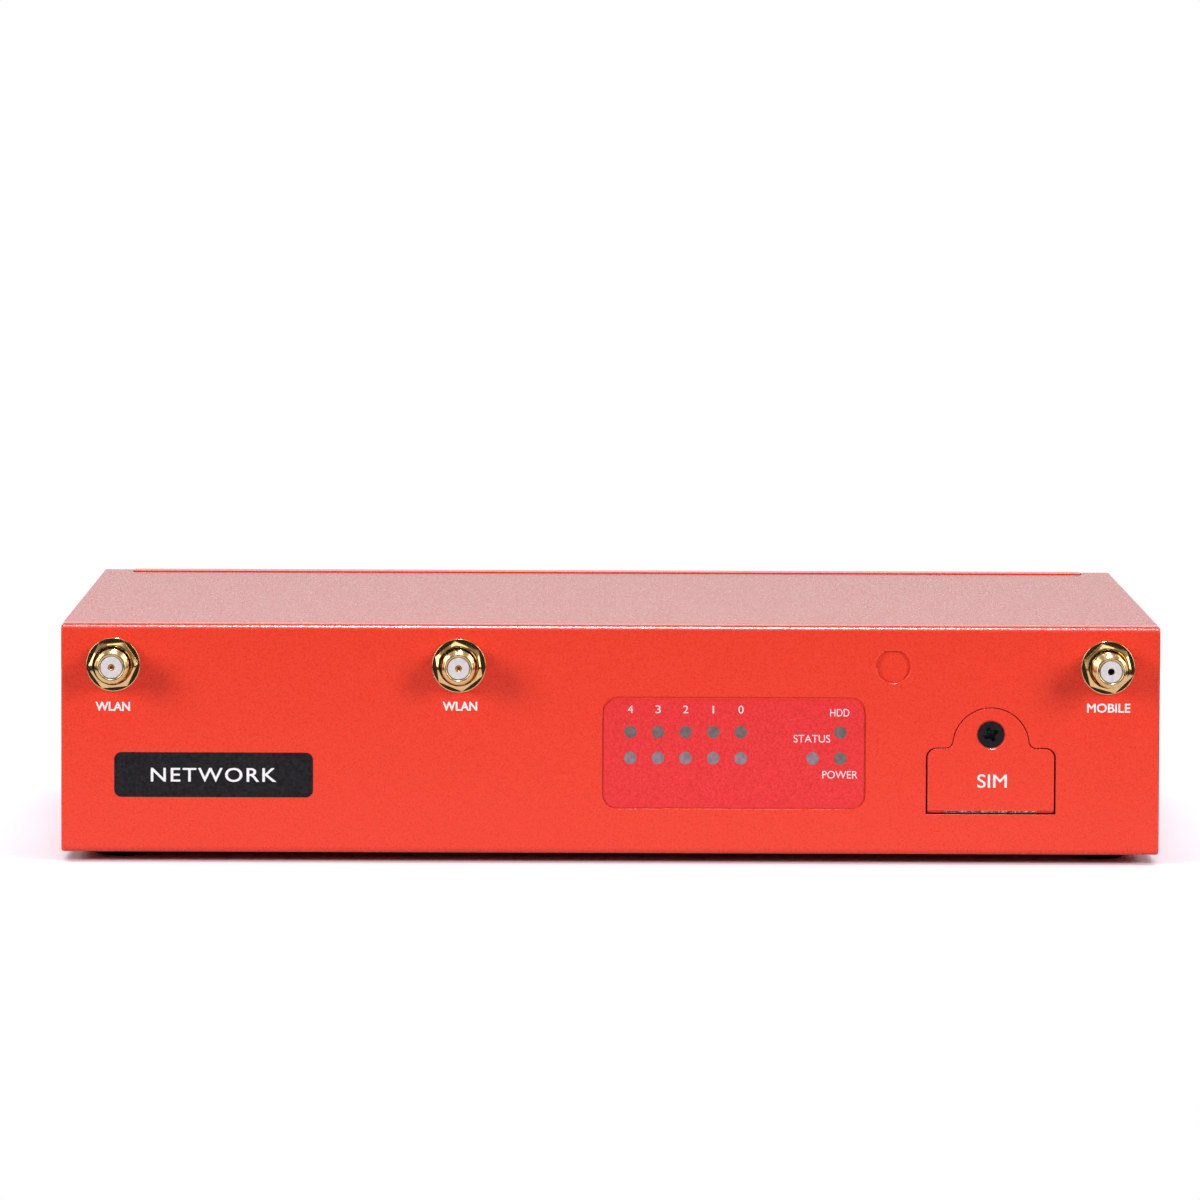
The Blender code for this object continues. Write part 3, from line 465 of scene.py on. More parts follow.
def loft(rings, closed=True):
    """Faces between rings of equally many points. A ring of one point closes the shape there."""
    bm = bmesh.new()
    rings = [[bm.verts.new(point) for point in ring] for ring in rings]
    sides = max(len(ring) for ring in rings)
    for low, high in zip(rings, rings[1:]):
        for i in range(sides):
            j = (i + 1) % sides
            corners = [low[i % len(low)], low[j % len(low)], high[j % len(high)], high[i % len(high)]]
            corners = list(dict.fromkeys(corners))
            if len(corners) > 2:
                bm.faces.new(corners)
    for ring in (rings[0], rings[-1]):
        if closed and len(ring) > 1:
            bm.faces.new(ring)
    return bm


def ring_loft(rings):
    """The same back to the first ring, for a shape with a hole through it."""
    bm = loft(rings + [rings[0]], closed=False)
    bmesh.ops.remove_doubles(bm, verts=bm.verts, dist=1e-5)
    return bm


def arc(centre, radius, start, end, steps):
    """Points on an arc from start to end, in degrees."""
    turn = [math.radians(start + (end - start) * i / steps) for i in range(steps + 1)]
    return [(centre[0] + radius * math.cos(a), centre[1] + radius * math.sin(a)) for a in turn]


def circle(radius, height, sides):
    turn = [2 * math.pi * i / sides for i in range(sides)]
    return [(radius * math.cos(a), radius * math.sin(a), height) for a in turn]


def turned(profile, sides=48, closed_ring=False):
    """A profile of (radius, height) points turned about +Z. A closed ring returns to its first point."""
    rings = [[(0, 0, h)] if r == 0 else circle(r, h, sides) for r, h in profile]
    return ring_loft(rings) if closed_ring else loft(rings)


def moved_out(outline, distance):
    """A counter-clockwise outline with every corner moved outwards along its mitre."""
    result = []
    for before, here, after in zip(outline[-1:] + outline[:-1], outline, outline[1:] + outline[:1]):
        a = Vector((here[1] - before[1], before[0] - here[0])).normalized()
        b = Vector((after[1] - here[1], here[0] - after[0])).normalized()
        mitre = (a + b) / (1 + a.dot(b))
        result.append((here[0] + mitre.x * distance, here[1] + mitre.y * distance))
    return result


def drawn(outline, low, high, soft=0.0, steps=3):
    """An outline drawn out along +Z. soft rounds its upper edge, or flares it if it is negative."""
    stations = [(0.0, low)]
    for i in range(steps + 1 if soft else 0):
        angle = math.radians(90 * i / steps)
        stations.append((-soft * (1 - math.cos(angle)), high - abs(soft) * (1 - math.sin(angle))))
    if not soft:
        stations.append((0.0, high))
    if soft < 0:
        stations.append((-soft, high + 1))
    return loft([[(x, y, height) for x, y in moved_out(outline, grow)] for grow, height in stations])


def rounded_rectangle(x, z, width, height, radius, steps=8):
    a, b = width / 2 - radius, height / 2 - radius
    corners = [(a, b, 0), (-a, b, 90), (-a, -b, 180), (a, -b, 270)]
    return [p for dx, dz, start in corners for p in arc((x + dx, z + dz), radius, start, start + 90, steps)]


def stadium(x, y, width, height):
    """A slot with round ends."""
    return rounded_rectangle(x, y, width, height, min(width, height) / 2 - 1e-3, 6)


def round_outline(x, z, radius, sides=32):
    return [(x + px, z + pz) for px, pz, _ in circle(radius, 0, sides)]


def front_shape(outline, y_front, y_back, soft=0.0):
    """An outline of (x, z) points as a solid between two depths, its front edge rounded or flared."""
    return placed(drawn(outline, -y_back, -y_front, soft), TOWARDS["front"])


def back_shape(outline, y_front, y_back, soft=0.0):
    """The same from behind: its rear edge is the one rounded or flared."""
    mirrored = [(-x, z) for x, z in reversed(outline)]
    return placed(drawn(mirrored, y_front, y_back, soft), TOWARDS["back"])


def at(x, y, z, facing="front"):
    """A matrix that lays +Z along the way a side of the case faces, at a point."""
    return Matrix.Translation((x, y, z)) @ TOWARDS[facing]


# --- Lettering ---

def letters(text, centre, cap_height, width, weight=0.0, spacing=1.0):
    """Text as a thin mesh in the XY plane, its capitals this high and its whole this wide."""
    curve = bpy.data.curves.new("letters", "FONT")
    curve.extrude = 0.01
    curve.resolution_u = 6
    curve.bevel_depth = weight
    curve.bevel_resolution = 0
    curve.space_character = spacing
    obj = new_object("letters", curve)
    curve.body = "H"
    capital = evaluated_bmesh(obj)
    capital_height = max(v.co.y for v in capital.verts)
    capital.free()
    curve.body = text
    bm = evaluated_bmesh(obj)
    bpy.data.objects.remove(obj)
    bpy.data.curves.remove(curve)
    left, right = min(v.co.x for v in bm.verts), max(v.co.x for v in bm.verts)
    across, up = width / (right - left), cap_height / capital_height
    for v in bm.verts:
        v.co.x = centre[0] + (v.co.x - (left + right) / 2) * across
        v.co.y = centre[1] - cap_height / 2 + v.co.y * up
    return bm


def print_on(name, texts, place, ink, body="case"):
    """Lettering of one ink as one piece, standing an ink's depth off a surface."""
    parts = [letters(*text) for text in texts]
    whole = merged(*parts)
    high = max(v.co.z for v in whole.verts)
    for v in whole.verts:
        v.co.z = INK_DEPTH * (v.co.z + high) / (2 * high)
    return piece(name, placed(whole, place), ink, body=body)


def digit_width(digit):
    """A 1 is a bare stroke."""
    return 0.3 if digit == 1 else 1.0


def add_front_lettering():
    """Each text has its middle, the height of its capitals, its width and its extra weight."""
    cap, film_cap = 1.66, 1.43
    jacks = [("WLAN", (-95.1, 28.0), cap, 6.6, 0.026), ("WLAN", (-28.8, 28.25), cap, 6.6, 0.026),
             ("MOBILE", (95.2, 28.3), cap, 8.3, 0.016)]
    face = at(0, 0, 0)
    print_on("front_lettering", jacks, face, WHITE_INK)
    lamps = [(str(4 - i), (x, 27.74), 1.46, digit_width(4 - i)) for i, x in enumerate(PORT_LAMPS_X)]
    lamps += [("HDD", (43.8, 27.2), film_cap, 3.7), ("STATUS", (38.5, 22.2), film_cap, 7.0),
              ("POWER", (43.9, 15.3), film_cap, 6.77)]
    print_on("label_lettering", lamps, at(0, LABEL_FRONT, 0), PINK_INK)
    print_on("door_lettering", [("SIM", (73.0, 14.2), 2.5, 5.67, 0.004)], face, WHITE_INK, "sim_door")


def add_badge():
    """A plain dark plate with one generic word, in a design of its own."""
    x, z, width, height, corner = -75.84, 14.9, 38.0, 8.6, 1.4
    plate = front_shape(rounded_rectangle(x, z, width, height, corner), -INK_DEPTH, 0.0)
    piece("badge_plate", plate, BLACK_INK)
    print_on("badge_word", [("NETWORK", (x, z), 2.6, 24.0, 0.008, 1.15)], at(0, -INK_DEPTH, 0), WHITE_INK)


# --- Case ---

def floor_and_back():
    """The bottom sheet and the rear wall with its top rim, as a profile in depth and height."""
    top = HEIGHT + REAR_RIM_PROUD
    inner = BEND - SHEET
    steps = BEND_STEPS
    outline = [(FRONT_RIM / 2, 0)]
    outline += arc((DEPTH - BEND, BEND), BEND, -90, 0, steps)
    outline += arc((DEPTH - BEND, top - BEND), BEND, 0, 90, steps)
    outline += [(DEPTH - REAR_RIM, top), (DEPTH - REAR_RIM, top - SHEET)]
    outline += arc((DEPTH - BEND, top - BEND), inner, 90, 0, 3)
    outline += arc((DEPTH - BEND, BEND), inner, 0, -90, 3)
    outline += [(FRONT_RIM / 2, SHEET)]
    half = HALF - SHEET - GAP
    return loft([[(x, y, z) for y, z in outline] for x in (-half, half)])


def side_flange(side):
    outer = side * (HALF - SHEET - GAP)
    low, high = sorted((outer, outer - side * SHEET))
    return box((low, FRONT_RIM + 2, SHEET / 2), (high, DEPTH - 10, SIDE_FLANGE))


def knock_out_outline():
    """A circle with a flat top."""
    flat = math.degrees(math.asin(KNOCK_OUT_FLAT / KNOCK_OUT_RADIUS))
    return arc(KNOCK_OUT, KNOCK_OUT_RADIUS, 180 - flat, 360 + flat, 64)


def door_outline(grow=0.0, bottom=DOOR_BOTTOM):
    """Sides, round shoulders, and a round lug that runs into them through small fillets.

    The window around it has twice the clearance at the sides.
    """
    half, shoulder = DOOR_HALF + 2 * grow, DOOR_SHOULDER + grow
    dome, fillet, corner = DOOR_DOME + grow, DOOR_FILLET - grow, DOOR_SHOULDER_RADIUS + grow
    fillet_z = shoulder + fillet
    fillet_x = math.sqrt((dome + fillet) ** 2 - (fillet_z - DOOR_DOME_Z) ** 2)
    meet = math.degrees(math.atan2(fillet_z - DOOR_DOME_Z, fillet_x))
    right = [(half, bottom)]
    right += arc((half - corner, shoulder - corner), corner, 0, 90, 10)
    right += arc((fillet_x, fillet_z), fillet, 270, 180 + meet, 10)
    right += arc((0, DOOR_DOME_Z), dome, meet, 90, 24)[1:]
    left = [(-x, z) for x, z in reversed(right[:-1])]
    return [(DOOR_X + x, z) for x, z in right + left]


def round_hole(x, z, radius, y_low, y_high, sides=32):
    return front_shape(round_outline(x, z, radius, sides), y_low, y_high)


def front_cutters():
    """The label's pocket, the knock-out's step, and holes for lamps, jacks and the SIM door."""
    width, height = (size + GAP for size in LABEL_SIZE)
    label = rounded_rectangle(*LABEL_CENTRE, width, height, LABEL_CORNER + GAP / 2)
    lamps = [(x, z) for x in PORT_LAMPS_X for z in LAMP_ROWS] + STATUS_LAMPS
    jack_hole = 3.45
    return [front_shape(label, 0, POCKET_DEPTH, -0.05),
            front_shape(knock_out_outline(), 0, KNOCK_OUT_DEPTH, -0.42),
            merged(*[round_hole(x, z, LAMP_RADIUS + GAP / 2, 0, 2 * SHEET, 24) for x, z in lamps]),
            merged(*[round_hole(x, ANTENNA_Z, jack_hole, -SHEET, 2 * SHEET)
                     for x, *_ in ANTENNAS.values()]),
            front_shape(door_outline(DOOR_GAP, WINDOW_BOTTOM), 0, 2 * SHEET, -0.12)]


def rear_cutters():
    """Openings for the jacks, vent slots above them, and holes for the two buttons."""
    jacks = [(x, RJ45_SIZE) for x in LAN_X + [CONSOLE_X]]
    jacks += [(USB_X, USB_SIZE), (VIDEO_X, VIDEO_SIZE), (DC_X, DC_SIZE)]
    openings = []
    for x, (width, _, height) in jacks:
        size = (width + 2 * GAP, height + 2 * GAP)
        openings.append(rounded_rectangle(x, ON_BOARD + height / 2, *size, 0.3, 3))
    openings += [stadium(-78 + 6 * i, 33, 2, 8) for i in range(22)]
    openings += [round_outline(POWER_X, ON_BOARD + POWER_HEIGHT, 3.6),
                 round_outline(RESET_X, ON_BOARD + RESET_HEIGHT, 1.1)]
    return [merged(*[back_shape(outline, DEPTH - 2 * SHEET, DEPTH, -0.1) for outline in openings])]


def bottom_cutters():
    """Vent slots, and a dimple with a screw hole under each board screw."""
    slots = [drawn(stadium(-45 + 6 * i, 82.5, 2, 25), -SHEET, 2 * SHEET) for i in range(16)]
    dimple = [(0, -0.5), (3.6, -0.5), (3.1, 0.0), (2.6, 0.55), (1.75, 0.62), (1.75, 9), (0, 9)]
    return [merged(*slots), merged(*at_board_screws(dimple))]


def at_board_screws(profile):
    return [placed(turned(profile, 32), Matrix.Translation((x, y, 0))) for x, y in BOARD_SCREWS]


def pan_block(inset, bend, edge, steps):
    """The front pan's outside, or its hollow, bent along its front's top and bottom, its ends rounded."""
    front, back, low, high = inset, PAN_DEPTH - inset, inset, HEIGHT - inset
    outline = arc((front + bend, low + bend), bend, 180, 270, steps) + [(back, low), (back, high)]
    outline += arc((front + bend, high - bend), bend, 90, 180, steps)
    half = HALF - inset
    quarter = [math.radians(90 * i / 4) for i in range(5)]
    left = [(edge * (math.cos(a) - 1), -half + edge * (1 - math.sin(a))) for a in reversed(quarter)]
    stations = left + [(grow, -x) for grow, x in reversed(left)]
    return loft([[(x, y, z) for y, z in moved_out(outline, grow)] for grow, x in stations])


def add_chassis():
    shell = pan_block(0, BEND, SIDE_EDGE, BEND_STEPS)
    hollow = pan_block(SHEET, BEND - SHEET, 0.05, 3)
    beyond = box((-HALF - SHEET, FRONT_RIM, -SHEET), (HALF + SHEET, PAN_DEPTH + SHEET, HEIGHT + SHEET))
    shell = cut(shell, hollow, beyond)
    bosses = at_board_screws([(0, SHEET / 2), (3.4, SHEET / 2), (3.4, 7.7), (0, 7.7)])
    shell = join(shell, floor_and_back(), side_flange(-1), side_flange(1), *bosses)
    corners = []
    for side in (-1, 1):
        low, high = sorted((side * REAR_RIM_HALF, side * (HALF + SHEET)))
        near = (low, FRONT_RIM + SHEET, HEIGHT - SHEET - GAP)
        corners.append(box(near, (high, DEPTH + SHEET, HEIGHT + BEND)))
    shell = cut(shell, *corners, *front_cutters(), *rear_cutters(), *bottom_cutters())
    remade("chassis", shell, PAINT)


def cover_outline():
    top, edge = HEIGHT - SIDE_EDGE, SIDE_EDGE
    inner, ceiling = HALF - SHEET, HEIGHT - SHEET
    outline = [(-HALF, 0), (-inner, 0), (-inner, ceiling), (inner, ceiling), (inner, 0), (HALF, 0)]
    outline += arc((HALF - edge, top), edge, 0, 90, 4)
    return outline + arc((-HALF + edge, top), edge, 90, 180, 4)


def on_side(side, y, z, x=HALF):
    """A place on the left (-1) or right (1) side of the case."""
    return at(side * x, y, z, "right" if side > 0 else "left")


def add_cover():
    """The top and both sides, with vent slots, countersinks and a notch for the rear wall's rim."""
    cover = front_shape(cover_outline(), FRONT_RIM + GAP, DEPTH)
    slots = []
    for side in (-1, 1):
        for i in range(16):
            slot = drawn(stadium(0, 0, 2, 16), -2 * SHEET, 0, -0.12)
            slots.append(placed(slot, on_side(side, 37 + 5 * i, 24)))
    deep = 1.1 * SHEET
    cone = [(0, -deep), (COUNTERSINK - deep, -deep), (COUNTERSINK + 0.1, 0.1), (0, 0.1)]
    sinks = [placed(turned(cone), on_side(side, y, COVER_SCREW_Z)) for side, y in COVER_SCREWS.values()]
    half = REAR_RIM_HALF + GAP
    notch = box((-half, DEPTH - REAR_RIM - GAP, HEIGHT - 2 * SHEET), (half, DEPTH + SHEET, HEIGHT + 1))
    piece("cover_fine", cut(cover, notch, merged(*slots), merged(*sinks)), PAINT, ["top_cover"])


def add_feet():
    profile = [(0, 0), (3.3, 0), (3.5, 0.08), (3.9, 0.25), (4.3, 0.28), (4.6, 0.45), (4.75, 0.75),
               (4.75, 1.82), (0, 1.82)]
    for name in ("foot_front_left", "foot_front_right", "foot_rear_left", "foot_rear_right"):
        low, high = (TO_WORLD.inverted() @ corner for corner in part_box(name))
        place = Matrix.Translation(((low.x + high.x) / 2, (low.y + high.y) / 2, low.z))
        remade(name, placed(turned(profile, 64), place), RUBBER)


# --- Screws ---

def flat_screw(head, shank, length, turn):
    """A countersunk screw with a cross recess, its head's face at height 0."""
    rim = 0.12
    body = turned([(0, 0), (head - 0.08, 0), (head, -0.06), (head, -rim), (shank, -rim - (head - shank)),
                   (shank, -length + shank / 3), (shank * 0.7, -length), (0, -length)], 64)
    return cut(body, *cross_recess(2.9, 1.3, turn))


def cross_recess(width, depth, turn):
    """The cross of a screw head: two crossing slots that narrow downwards, and a cone in the middle."""
    wing, above = 0.86, 0.02
    tools = [turned([(0, -depth - 0.3), (0.6, -depth), (0.9, above), (0, above)], 24)]
    for quarter in (0, 90):
        top = rounded_rectangle(0, 0, width, wing, 0.3, 5)
        rings = [[(x * 0.7, y * 0.7, -depth) for x, y in top], [(x, y, above) for x, y in top]]
        tools.append(placed(loft(rings), turn_z(turn + quarter)))
    return tools


def add_screws():
    sunk = 0.1
    door_screw = placed(flat_screw(2.52, SCREW_SHANK, 4.2, 28), at(DOOR_X, sunk, DOOR_SCREW_Z))
    piece("door_screw_fine", door_screw, BLACK_STEEL, ["sim_door_screw"], "door_screw")
    for name, (side, y) in COVER_SCREWS.items():
        place = on_side(side, y, COVER_SCREW_Z, HALF - sunk)
        screw = placed(flat_screw(2.5, SCREW_SHANK, 5.0, 20 * side), place)
        remade(f"cover_screw_{name}", screw, BLACK_STEEL)


# --- Antenna jacks ---

def hex_radius(angle, flats, turn):
    """Distance from the middle of a hexagon to its side, in a direction."""
    sixth = math.radians(60)
    return flats / 2 / math.cos((angle - math.radians(turn)) % sixth - sixth / 2)


def hex_nut(flats, bore, low, high, turn):
    """A nut whose upper corners are taken off by a cone, as on a turned hexagon."""
    count, slope, chamfer, soft = 180, 0.5, 0.42, 0.1
    flat_end = bore + chamfer + 0.08
    angles = [2 * math.pi * i / count for i in range(count)]
    sides = [hex_radius(angle, flats, turn) for angle in angles]

    def ring(radii, heights):
        return [(r * math.cos(a), r * math.sin(a), h) for r, a, h in zip(radii, angles, heights)]

    rings = [circle(bore, low, count), circle(bore, high - chamfer, count),
             circle(bore + chamfer, high, count), circle(flat_end, high, count)]
    for share in (0.3, 0.65, 1.0):
        radii = [flat_end + (side - flat_end) * share for side in sides]
        rings.append(ring(radii, [high - (r - flat_end) * slope for r in radii]))
    rings.append(ring(sides, [low + soft] * count))
    rings.append(ring([side - soft for side in sides], [low] * count))
    return ring_loft(rings)


def cut_thread(bm, radius, low, high, pitch, depth):
    """Moves the points of a barrel into a screw thread that fades out at both ends."""
    for v in bm.verts:
        reach = math.hypot(v.co.x, v.co.y)
        if abs(reach - radius) > 1e-3 or not low < v.co.z < high:
            continue
        phase = (v.co.z / pitch - math.atan2(v.co.y, v.co.x) / (2 * math.pi)) % 1
        fade = min(1.0, (v.co.z - low) / pitch, (high - v.co.z) / pitch)
        shrink = 1 - depth * fade * abs(2 * phase - 1) / radius
        v.co.x *= shrink
        v.co.y *= shrink


def lock_washer(hole, outer, low, high, turn):
    """A flat washer with a rounded rim and two small nibs."""
    soft = 0.16
    rim = [(outer - soft, low)] + arc((outer - soft, high - soft), soft, -20, 90, 5)
    flat = [(outer - soft - 0.03, high), (hole, high)]
    washer = turned([(hole, low)] + rim + flat, 96, closed_ring=True)
    nibs = []
    for angle in (turn, turn + 116):
        nib = rounded_box((outer - 0.4, -0.25, low + 0.08), (outer + 0.11, 0.25, high - 0.06), 0.08, 2)
        nibs.append(placed(nib, turn_z(angle)))
    return join(washer, *nibs)


def jack_barrel(proud, bore_end):
    """The threaded body: a bore behind a rounded lip, then the thread, a flange and a stub."""
    thread, bore, flange, stub = THREAD, 2.16, 4.4, 1.9
    flange_front = -SHEET - GAP
    flange_back, stub_end = flange_front - 2, -9.5
    pitch, root = 0.7, 0.38
    thread_top = proud - 0.65
    lip = [(bore, -0.4), (bore + 0.04, -0.25), (bore + 0.12, -0.12), (bore + 0.24, -0.03), (bore + 0.34, 0),
           (bore + 0.44, -0.03), (bore + 0.6, -0.13), (bore + 0.75, -0.28), (thread - 0.1, -0.42),
           (thread, -0.55)]
    body = [(0, bore_end), (bore, bore_end)] + [(r, proud + h) for r, h in lip]
    body += [(thread, thread_top - i * pitch / 10) for i in range(int(thread_top * 10 / pitch) + 1)]
    body += [(thread, flange_front), (flange, flange_front), (flange, flange_back), (stub, flange_back),
             (stub, stub_end), (0, stub_end)]
    barrel = turned(body, 96)
    cut_thread(barrel, thread, 0.2, proud - 0.56, pitch, root)
    return barrel


def add_antenna(name, x, proud, turn):
    """A jack, its washer and its nut, which stands turned by this many degrees."""
    place = at(x, 0, ANTENNA_Z)
    bore_end = proud - 6
    barrel = jack_barrel(proud, bore_end)
    remade(f"{name}_jack", placed(barrel, place), GOLD, sharp=40)
    add_insulator(name, proud, bore_end, place)
    add_contact(name, proud, bore_end, place)
    hole = THREAD + 0.15
    washer = lock_washer(hole, 5.15, 0.15, 0.6, 49 + turn)
    remade(f"{name}_washer", placed(washer, place), POLISHED_GOLD)
    nut = hex_nut(8.35, hole, 0.75, 2.75, turn)
    remade(f"{name}_nut", placed(nut, place), POLISHED_GOLD)


def add_insulator(name, proud, bore_end, place):
    front, low, outer, clear = proud - 0.2, bore_end + GAP, 2.1, 0.64
    rings = [(clear, low), (outer, low), (outer, front - 0.12), (outer - 0.12, front), (clear + 0.08, front),
             (clear, front - 0.08)]
    remade(f"{name}_insulator", placed(turned(rings, 64, closed_ring=True), place), PTFE)


def add_contact(name, proud, bore_end, place):
    """The middle of the insulator: the mobile jack's is a slotted tube, the others' a dished pin."""
    front, low, soft = proud - 0.3, bore_end + GAP, 0.05
    if name == "mobile":
        # The mobile socket's gold is darkened to paint the shade inside its hole
        gold, tube, hole, depth = SHADED_SOCKET_GOLD, 0.54, 0.43, 3.0
        contact = turned([(0, low), (tube, low), (tube, front - soft), (tube - soft, front), (hole, front),
                          (hole - 0.04, front - depth), (0, front - depth)], 40)
        contact = cut(contact, box((-0.62, -0.1, front - 2), (0.62, 0.1, front + 0.2)))
    else:
        gold, pin, depth = CONTACT_GOLD, 0.6, 0.8
        contact = turned([(0, low), (pin, low), (pin, front - soft), (pin - soft, front),
                          (pin - 2 * soft, front), (0.14, front - 0.34), (0.1, front - depth),
                          (0, front - depth)], 40)
    remade(f"{name}_contact", placed(contact, place), gold)


# --- Lamps ---

def add_label():
    outline = rounded_rectangle(*FILM_CENTRE, *FILM_SIZE, LABEL_CORNER)
    # The lower row and one status lamp get the lighter window, which is painted light
    pale = [(x, LAMP_ROWS[1]) for x in PORT_LAMPS_X] + [STATUS_LAMPS[1]]
    dark = [(x, LAMP_ROWS[0]) for x in PORT_LAMPS_X] + [STATUS_LAMPS[0], STATUS_LAMPS[2]]
    film = front_shape(outline, LABEL_FRONT, LABEL_BACK, 0.04)
    holes = merged(*[round_hole(x, z, LAMP_RADIUS, 0, SHEET, 40) for x, z in pale + dark])
    remade("status_label", cut(film, holes), FILM)
    for name, lamps, glass in (("lamp_windows", dark, WINDOW), ("painted_light_lamp_windows", pale, PAINTED_LIGHT_WINDOW)):
        discs = [round_hole(x, z, LAMP_RADIUS - 0.005, LABEL_FRONT + 0.02, LABEL_BACK, 40) for x, z in lamps]
        piece(name, merged(*discs), glass)


def add_light_pipe(name, lamps):
    """A clear moulding: a block on the mainboard with one rod for each lamp."""
    xs, margin = [x for x, _ in lamps], 2.2
    front, back, top = 3.0, 7.5, LAMP_ROWS[0] + margin
    block = rounded_box((min(xs) - margin, front, ON_BOARD), (max(xs) + margin, back, top), 0.5, 3)
    rods = [round_hole(x, z, LAMP_RADIUS - 0.15, POCKET_DEPTH + 0.05, front + 1) for x, z in lamps]
    remade(name, join(block, merged(*rods)), PIPE)


# --- SIM door ---

def tongue():
    """The hooked tongue: over the window's sill, then down behind the wall."""
    inner, outer = 0.15, 0.5
    round_back = inner + 0.3
    hook_front, bottom, top = TONGUE_REACH - SHEET, TONGUE_BOTTOM, TONGUE_BOTTOM + SHEET
    outline = arc((outer, bottom + outer), outer, 180, 270, 5)
    outline += [(hook_front, bottom), (hook_front, TONGUE_HOOK + 0.2), (hook_front + 0.2, TONGUE_HOOK),
                (TONGUE_REACH, TONGUE_HOOK)]
    outline += arc((TONGUE_REACH - round_back, top - round_back), round_back, 0, 90, 5)
    outline += [(SHEET, top), (SHEET, top + SHEET), (0, top + SHEET)]
    return loft([[(x, y, z) for y, z in outline] for x in (DOOR_X - TONGUE_HALF, DOOR_X + TONGUE_HALF)])


def add_sim_door():
    """The plate with its tongue, its countersink and a lip that hides the gap; the tongue's edge is worn,
    and darkened with painted shade.
    """
    deep = 1.1 * SHEET
    cone = [(0, -deep), (COUNTERSINK - deep, -deep), (COUNTERSINK - 0.06, -0.1), (COUNTERSINK + 0.06, 0.0),
            (COUNTERSINK + 0.2, 0.1), (0, 0.1)]
    plate = front_shape(door_outline(), 0, SHEET, 0.12)
    lip_low = (DOOR_X - DOOR_HALF, 0.6, WINDOW_BOTTOM + 0.25)
    lip = rounded_box(lip_low, (DOOR_X + DOOR_HALF, 1.3, DOOR_BOTTOM + 1), 0.15, 2)
    door = cut(join(plate, tongue(), lip), placed(turned(cone, 64), at(DOOR_X, 0, DOOR_SCREW_Z)))
    obj = remade("sim_door", door, PAINT, "sim_door")
    # The tongue's lower edge gets the worn material, whose dark specks are painted shade
    obj.data.materials.append(WORN_AND_SHADED)
    edge = (TO_WORLD @ Vector((0, 0, TONGUE_BOTTOM + 0.5))).z
    reach = (TONGUE_HALF + 0.05) * MM
    for polygon in obj.data.polygons:
        across = [abs(obj.data.vertices[i].co.x - DOOR_X * MM) for i in polygon.vertices]
        if polygon.center.z < edge and max(across) < reach:
            polygon.material_index = 1


# --- Rear ---

def shell_block(x, size, soft=0.35):
    low = (x - size[0] / 2, JACK_BACK - size[1], ON_BOARD)
    high = (x + size[0] / 2, JACK_BACK, ON_BOARD + size[2])
    return rounded_box(low, high, soft, 3)


def socket_bar(x, half, deep, recess, low, high, radius, segments=2):
    """A rounded bar in a rear socket, from this deep to this far short of the socket's mouth."""
    corners = (x - half, JACK_BACK - deep, low), (x + half, JACK_BACK - recess, high)
    return rounded_box(*corners, radius, segments)


def shifted(outline, dx, dz):
    return [(x + dx, z + dz) for x, z in outline]


def add_network_jack(name, x):
    """A shielded modular jack: steel shell with two springs, black liner and eight contacts."""
    mouth_z = ON_BOARD + 2.2
    half, key, step, top = 5.95, 3.2, 2.1, 9.3
    opening = [(-key, 0), (key, 0), (key, step), (half, step), (half, top), (-half, top), (-half, step),
               (-key, step)]
    mouth = shifted(opening, x, mouth_z)
    hollow = back_shape(moved_out(mouth, 0.4), JACK_BACK - 13.5, JACK_BACK, -0.1)
    shell = cut(shell_block(x, RJ45_SIZE), hollow)
    springs = []
    for side in (-1, 1):
        spring = drawn(stadium(0, 0, 1.6, 5), -0.3, 0.06, 0.05)
        springs.append(placed(spring, at(x + side * 7.5, JACK_BACK, ON_BOARD + 7, "back")))
    remade(name, merged(shell, *springs), PLATED)
    liner = back_shape(moved_out(mouth, 0.35), JACK_BACK - 13.4, JACK_BACK - 0.3)
    liner = cut(liner, back_shape(mouth, JACK_BACK - 12.4, JACK_BACK - 0.3, -0.1))
    piece(f"{name}_liner", liner, BLACK_PLASTIC)
    pitch, pin_half = 1.02, 0.18
    bent = [(12.2, 8.3), (11.9, 8.6), (4.0, 6.0), (3.0, 8.8), (2.7, 8.8), (3.8, 5.6), (4.2, 5.6)]
    pins = []
    for i in range(8):
        centre = x + (i - 3.5) * pitch
        sides = (centre - pin_half, centre + pin_half)
        pins.append(loft([[(px, JACK_BACK - deep, mouth_z + z) for deep, z in bent] for px in sides]))
    piece(f"{name}_pins", merged(*pins), GOLD)


def add_usb():
    """Two ports over each other, each with a tongue and four contacts."""
    shell, tongues, pins = shell_block(USB_X, USB_SIZE), [], []
    for low in (ON_BOARD + 1.4, ON_BOARD + 9.2):
        mouth = rounded_rectangle(USB_X, low + 2.6, 12.6, 5.2, 0.5, 4)
        shell = cut(shell, back_shape(mouth, JACK_BACK - 12, JACK_BACK, -0.15))
        tongues.append(socket_bar(USB_X, 5.5, 13, 1.5, low + 2.6, low + 4.4, 0.2))
        for i in range(4):
            pins.append(socket_bar(USB_X + (i - 1.5) * 2.3, 0.5, 9, 2.2, low + 2.45, low + 2.65, 0.05, 1))
    remade("usb_jack", shell, PLATED)
    piece("usb_jack_tongues", merged(*tongues), BLACK_PLASTIC)
    piece("usb_jack_pins", merged(*pins), GOLD)


